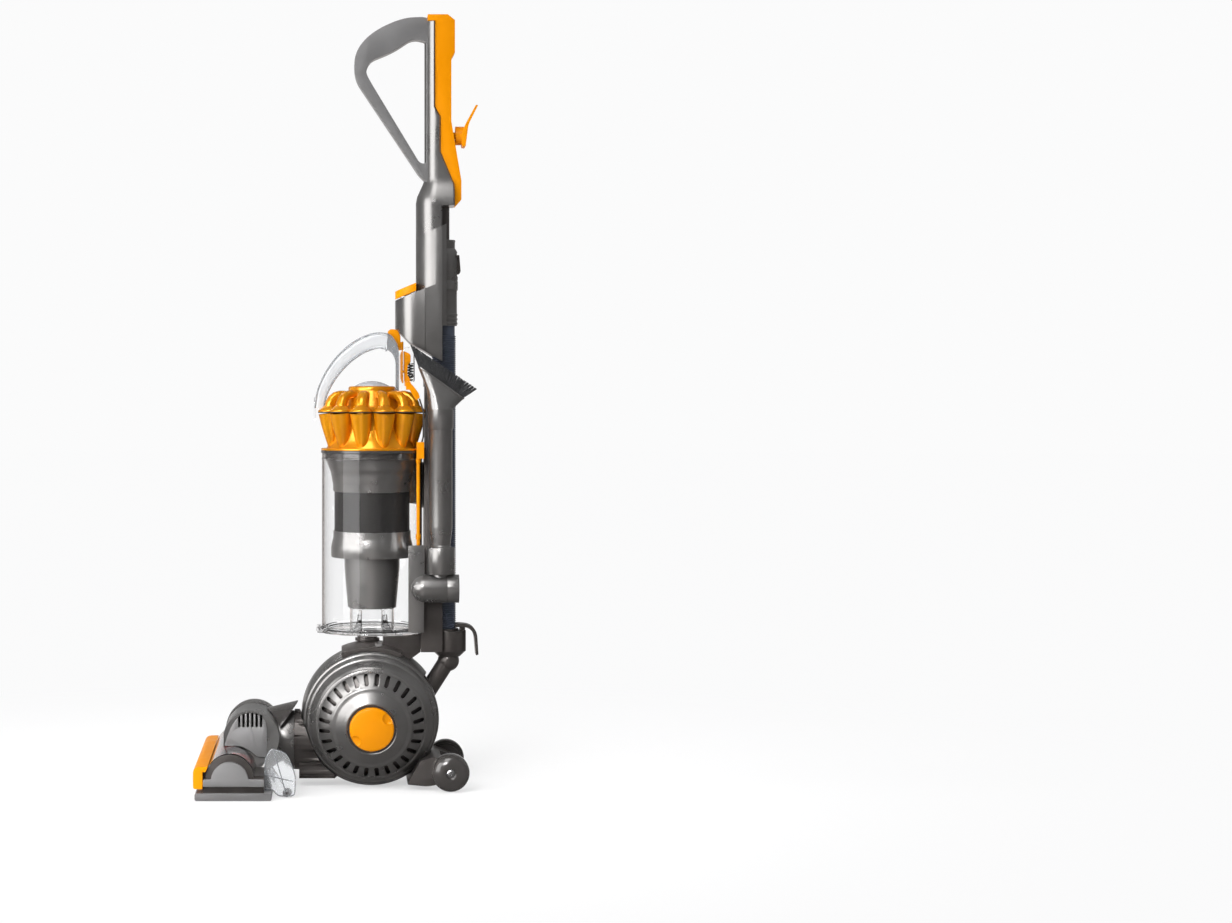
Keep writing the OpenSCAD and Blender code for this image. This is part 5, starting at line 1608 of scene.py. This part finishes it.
    def wheel(self, side: int) -> None:
        """Makes a domed wheel with a tread line and a bright screw.

        Args:
            side: 1 for the right, -1 for the left.
        """
        name, (x, y, z) = side_name(side), self.wheel_at
        frame = Matrix.Translation((side * x, y, z)) @ Matrix.Rotation(side * math.pi / 2, 4, "Y")
        form = Form(f"wheel_{name}")
        form.lathe([(5.1, -12.8), (19.5, -12.8), (20.4, -11.0), (22.6, -11.6), (24.4, -12.6), (25.4, -11.8),
                    (25.9, -10.0), (26.0, -8.0), (26.0, -3.6), (25.6, -3.2), (25.6, -2.4), (26.0, -2.0),
                    (25.9, 0.0), (25.2, 3.4), (23.6, 6.6), (20.8, 9.4), (17.0, 11.4), (12.5, 12.6),
                    (8.6, 13.0), (7.4, 12.6), (6.6, 11.4), (5.1, 10.8)],
                   frame, 72, shut=True)
        form.done(self.palette, "gloss_dark", f"stand_wheel_{name}", f"stand_wheel_{name}", smooth=36)
        screw = Form(f"wheel_screw_{name}")
        screw.lathe([(0.3, 12.4), (3.4, 12.3), (4.9, 11.9), (5.7, 11.2), (5.8, 10.4), (5.8, 8.0), (0.3, 8.0)],
                    frame, 40, shut=True)
        head = screw.done(self.palette, "silver_metal", f"stand_wheel_{name}", smooth=40)
        for turn in (20.0, 110.0):
            cross = Form("cross_tool")
            cross.slab([(-2.6, -0.45), (2.6, -0.45), (2.6, 0.45), (-2.6, 0.45)], 11.4, 14.0,
                       frame @ Matrix.Rotation(math.radians(turn), 4, "Z"))
            cut(head, cross, 40)

    def build(self) -> None:
        """Makes ball, cap, band, yoke and stand."""
        for side in (-1, 1):
            self.shell(side)
            self.wheel(side)
        self.cap()
        self.insides()
        self.soften("stand_frame", "dark_plastic", "stand", 1.0)
        self.soften("centre_band", "iron_satin", "body", 0.5)
        self.soften("yoke", "dark_plastic", "yoke", 0.7)


# ---------------------------------------------------------------- floor head
@dataclass
class FloorHead(Assembly):
    """Bumper, clear brush cover, motor housing, brush bar and everything that meets the floor."""

    half: float = 170.0
    belt: Flat = (-54.0, -30.0)
    core_half: float = 154.0
    core_r: float = 18.0
    stub_half: float = 163.0
    collar_x: float = 152.0
    tuft_rows: tuple[Point, ...] = ((-146.0, -57.0, -1.0), (-27.0, 146.0, 1.0))
    tuft_pitch: float = 4.6
    twist: float = 1.15
    strands: int = 9
    seed: int = 7
    window_half: float = 157.7
    window_r: float = 33.0
    window_foot: float = 3.4
    cheek: Flat = (75.02, 76.3)
    vents: int = 6
    vent_pitch: float = 6.0
    vent_half: float = 1.6

    def bar_frame(self) -> Matrix:
        """Gives the brush bar's frame, whose Z runs to the right."""
        return Matrix.Translation(BRUSH) @ Matrix.Rotation(math.pi / 2, 4, "Y")

    def bumper(self) -> None:
        """Makes the yellow bar along the front, rounded at its ends and edges."""
        form = Form("front_bumper")
        outline = rounded([(-195, 16, 4), (-195, 42, 5), (-189, 46, 5), (-175.0, 46, 1.5),
                           (-178.2, 38.8, 0.5), (-182.2, 38.6, 1), (-182.2, 16, 1.5)], 6)
        form.slab(outline, -self.half, self.half, on_side())
        form.bevel_sharp(1.6, 3, 60)
        form.done(self.palette, "yellow_gloss", "head", "bumper", smooth=35)

    def brush(self) -> None:
        """Makes the dark core with its pulley and end collars, and the red and black tufts."""
        core, frame, r = Form("brush_core"), self.bar_frame(), self.core_r
        left, right = self.belt
        for low, high in ((-self.core_half, left), (right, self.core_half)):
            core.lathe([(6, low), (r - 1.5, low), (r, low + 1.2), (r, high - 1.2), (r - 1.5, high),
                        (6, high)], frame, 48,
                       shut=True)
        end = self.stub_half
        core.lathe([(2.6, -end), (6, -end), (6, left), (12.8, left), (12.8, right), (6, right), (6, end),
                    (2.6, end)],
                   frame, 40, shut=True)
        for x in (-self.collar_x, self.collar_x):
            core.lathe([(17, x - 1), (21, x - 1), (21, x + 1), (17, x + 1)], frame, 40, shut=True)
        core.done(self.palette, "dark_plastic", "brush_bar", "brush_bar", smooth=35)
        rng = random.Random(self.seed)
        for slot, node, first in (("bristle_black", "black_bristles", 0.0),
                                  ("bristle_red", "red_bristles", 90.0)):
            form = Form(f"{node}_tufts")
            for low, high, hand in self.tuft_rows:
                count = int((high - low) / self.tuft_pitch)
                for k in range(count + 1):
                    x = low + (high - low) * k / count
                    for row in (0.0, 180.0):
                        angle = math.radians(first + row + hand * self.twist * (x - low))
                        self.tuft(form, rng, x, angle)
            form.done(self.palette, slot, "brush_bar", node, smooth=60)

    def tuft(self, form: Form, rng: random.Random, x: float, angle: float) -> None:
        """Adds one bunch of nylon strands that spreads towards its tips.

        Args:
            form: the tufts of its colour.
            rng: what scatters the strands.
            x: its place along the bar.
            angle: its place round the bar, in radians.
        """
        for _ in range(self.strands):
            spin, reach = rng.uniform(0, math.tau), rng.uniform(0.2, 1.0)
            dx, da = 1.7 * reach * math.cos(spin), 1.7 * reach * math.sin(spin)
            ends = []
            for r, spread in ((17.6, 0.55), (rng.uniform(27.3, 28.4), 1.5)):
                a = angle + da * spread / r
                ends.append(BRUSH + Vector((x + dx * spread, r * math.cos(a), r * math.sin(a))))
            form.tube(ends, [0.34, 0.24], 4, capped=False)

    def cover(self) -> None:
        """Makes the clear half-round cover with ribs at its ends and beside the motor housing."""
        form, frame, r, end = Form("brush_window"), self.bar_frame(), self.window_r, self.window_half
        foot = math.asin(self.window_foot / r)
        start, turn = math.pi / 2 + foot, math.pi - 2 * foot
        for x in (-157.0, -80.0, 157.0, 80.0):
            form.lathe([(r - 2.1, x - 0.6), (r + 0.3, x - 0.6), (r + 0.3, x + 0.6), (r - 2.1, x + 0.6)],
                       frame, 48,
                       shut=True, start=start, turn=turn)
        form.lathe([(r - 2, -end), (r, -end), (r, end), (r - 2, end)], frame, 64, shut=True, start=start,
                   turn=turn)
        form.done(self.palette, "clear_plastic", "head", "brush_cover", smooth=40)

    def cheeks(self) -> None:
        """Makes the pale side plates of the motor housing, with their cooling slots."""
        outline = rounded([(-157.0, 62.0, 2), (-152.5, 76.0, 8), (-146.0, 92.0, 12), (-136.0, 104.0, 14),
                           (-118.0, 107.5, 14), (-101.0, 99.0, 12), (-98.6, 84.0, 3), (-98.6, 46.0, 3),
                           (-112.0, 47.0, 4), (-122.0, 56.0, 12), (-136.0, 62.4, 12)], 6)
        for side in (-1, 1):
            form = Form(f"housing_cheek_{side_name(side)}")
            form.slab(outline, *mirrored(side, *self.cheek), on_side())
            cheek = form.done(self.palette, "iron_pale", "head", smooth=35)
            tool = Form("vent_tool")
            for k in range(self.vents):
                y = -136.5 + self.vent_pitch * k
                low, high = y - self.vent_half, y + self.vent_half
                tool.slab(rounded([(low, 87.4, 1.5), (high, 87.4, 1.5), (high, 112, 1.5), (low, 112, 1.5)],
                                  4),
                          *mirrored(side, 73.6, 77.6), on_side())
            cut(cheek, tool, 35)
            round_edges(cheek, 0.45, 2, 60)

    def leg_edges(self) -> None:
        """Makes the milky edges and ribs of the clear rear legs, darker than the legs: painted shade along
        their outlines.
        """
        edges = Form("rear_leg_edges")
        outline = rounded([(-99.6, 10.5, 1), (-99.6, 50, 6), (-92, 66.4, 8), (-70.4, 59.4, 8), (-58.5, 30, 8),
                           (-59.4, 2.2, 6), (-82, 2.2, 5), (-89.2, 10.5, 2)], 5)
        for side in (-1, 1):
            for x in (133.2, 136.8):
                edges.tube([(side * x, *p) for p in outline + outline[:1]], 0.7, 8)
            for low, high in (((-98, 30), (-62, 22)), ((-88, 64), (-72, 8))):
                edges.tube([(side * 136.9, *low), (side * 136.9, *high)], 0.8, 8)
        edges.done(self.palette, "clear_edge", "head")

    def build(self) -> None:
        """Makes the whole head."""
        self.cheeks()
        self.bumper()
        self.brush()
        self.cover()
        self.leg_edges()
        for node, finish, width in (
                ("motor_housing", "iron_satin", 0.8), ("neck_tube", "iron_satin", 0.5),
                ("soleplate", "iron_pale", 0.8),
                ("end_caps", "iron_pale", 0.9), ("brush_housing", "dark_plastic", 0.5),
                ("neck_shroud", "gloss_dark", 0.7),
                ("rear_legs", "clear_leg", 0.6)):
            self.soften(node, finish, "head", width)


# ---------------------------------------------------------------- the whole scene
def dress_frame(frame: dict, palette: Palette) -> None:
    """Gives every CAD node the finish of its slot.

    Args:
        palette: the finishes.
    """
    slots = {part["node"]: part["material_slot"] for part in frame["record"]["subparts"]}
    for node in frame["nodes"]:
        obj = bpy.data.objects.get(node)
        if obj is None or node not in slots:
            continue
        material = palette[slots[node]]
        if obj.material_slots:
            for place in obj.material_slots:
                place.material = material
        else:
            obj.data.materials.append(material)


def main() -> None:
    """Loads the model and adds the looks."""
    logging.basicConfig(level=logging.INFO, format="%(name)s %(message)s")
    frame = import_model()
    Studio().build()
    palette = Palette()
    dress_frame(frame, palette)
    for group in (CyclonePack, DustBin, BinHandle, UpperWorks, CombinationTool, Ball, FloorHead):
        group(palette).build()
        LOG.info("%s done", group.__name__)


if __name__ == "__main__":
    main()
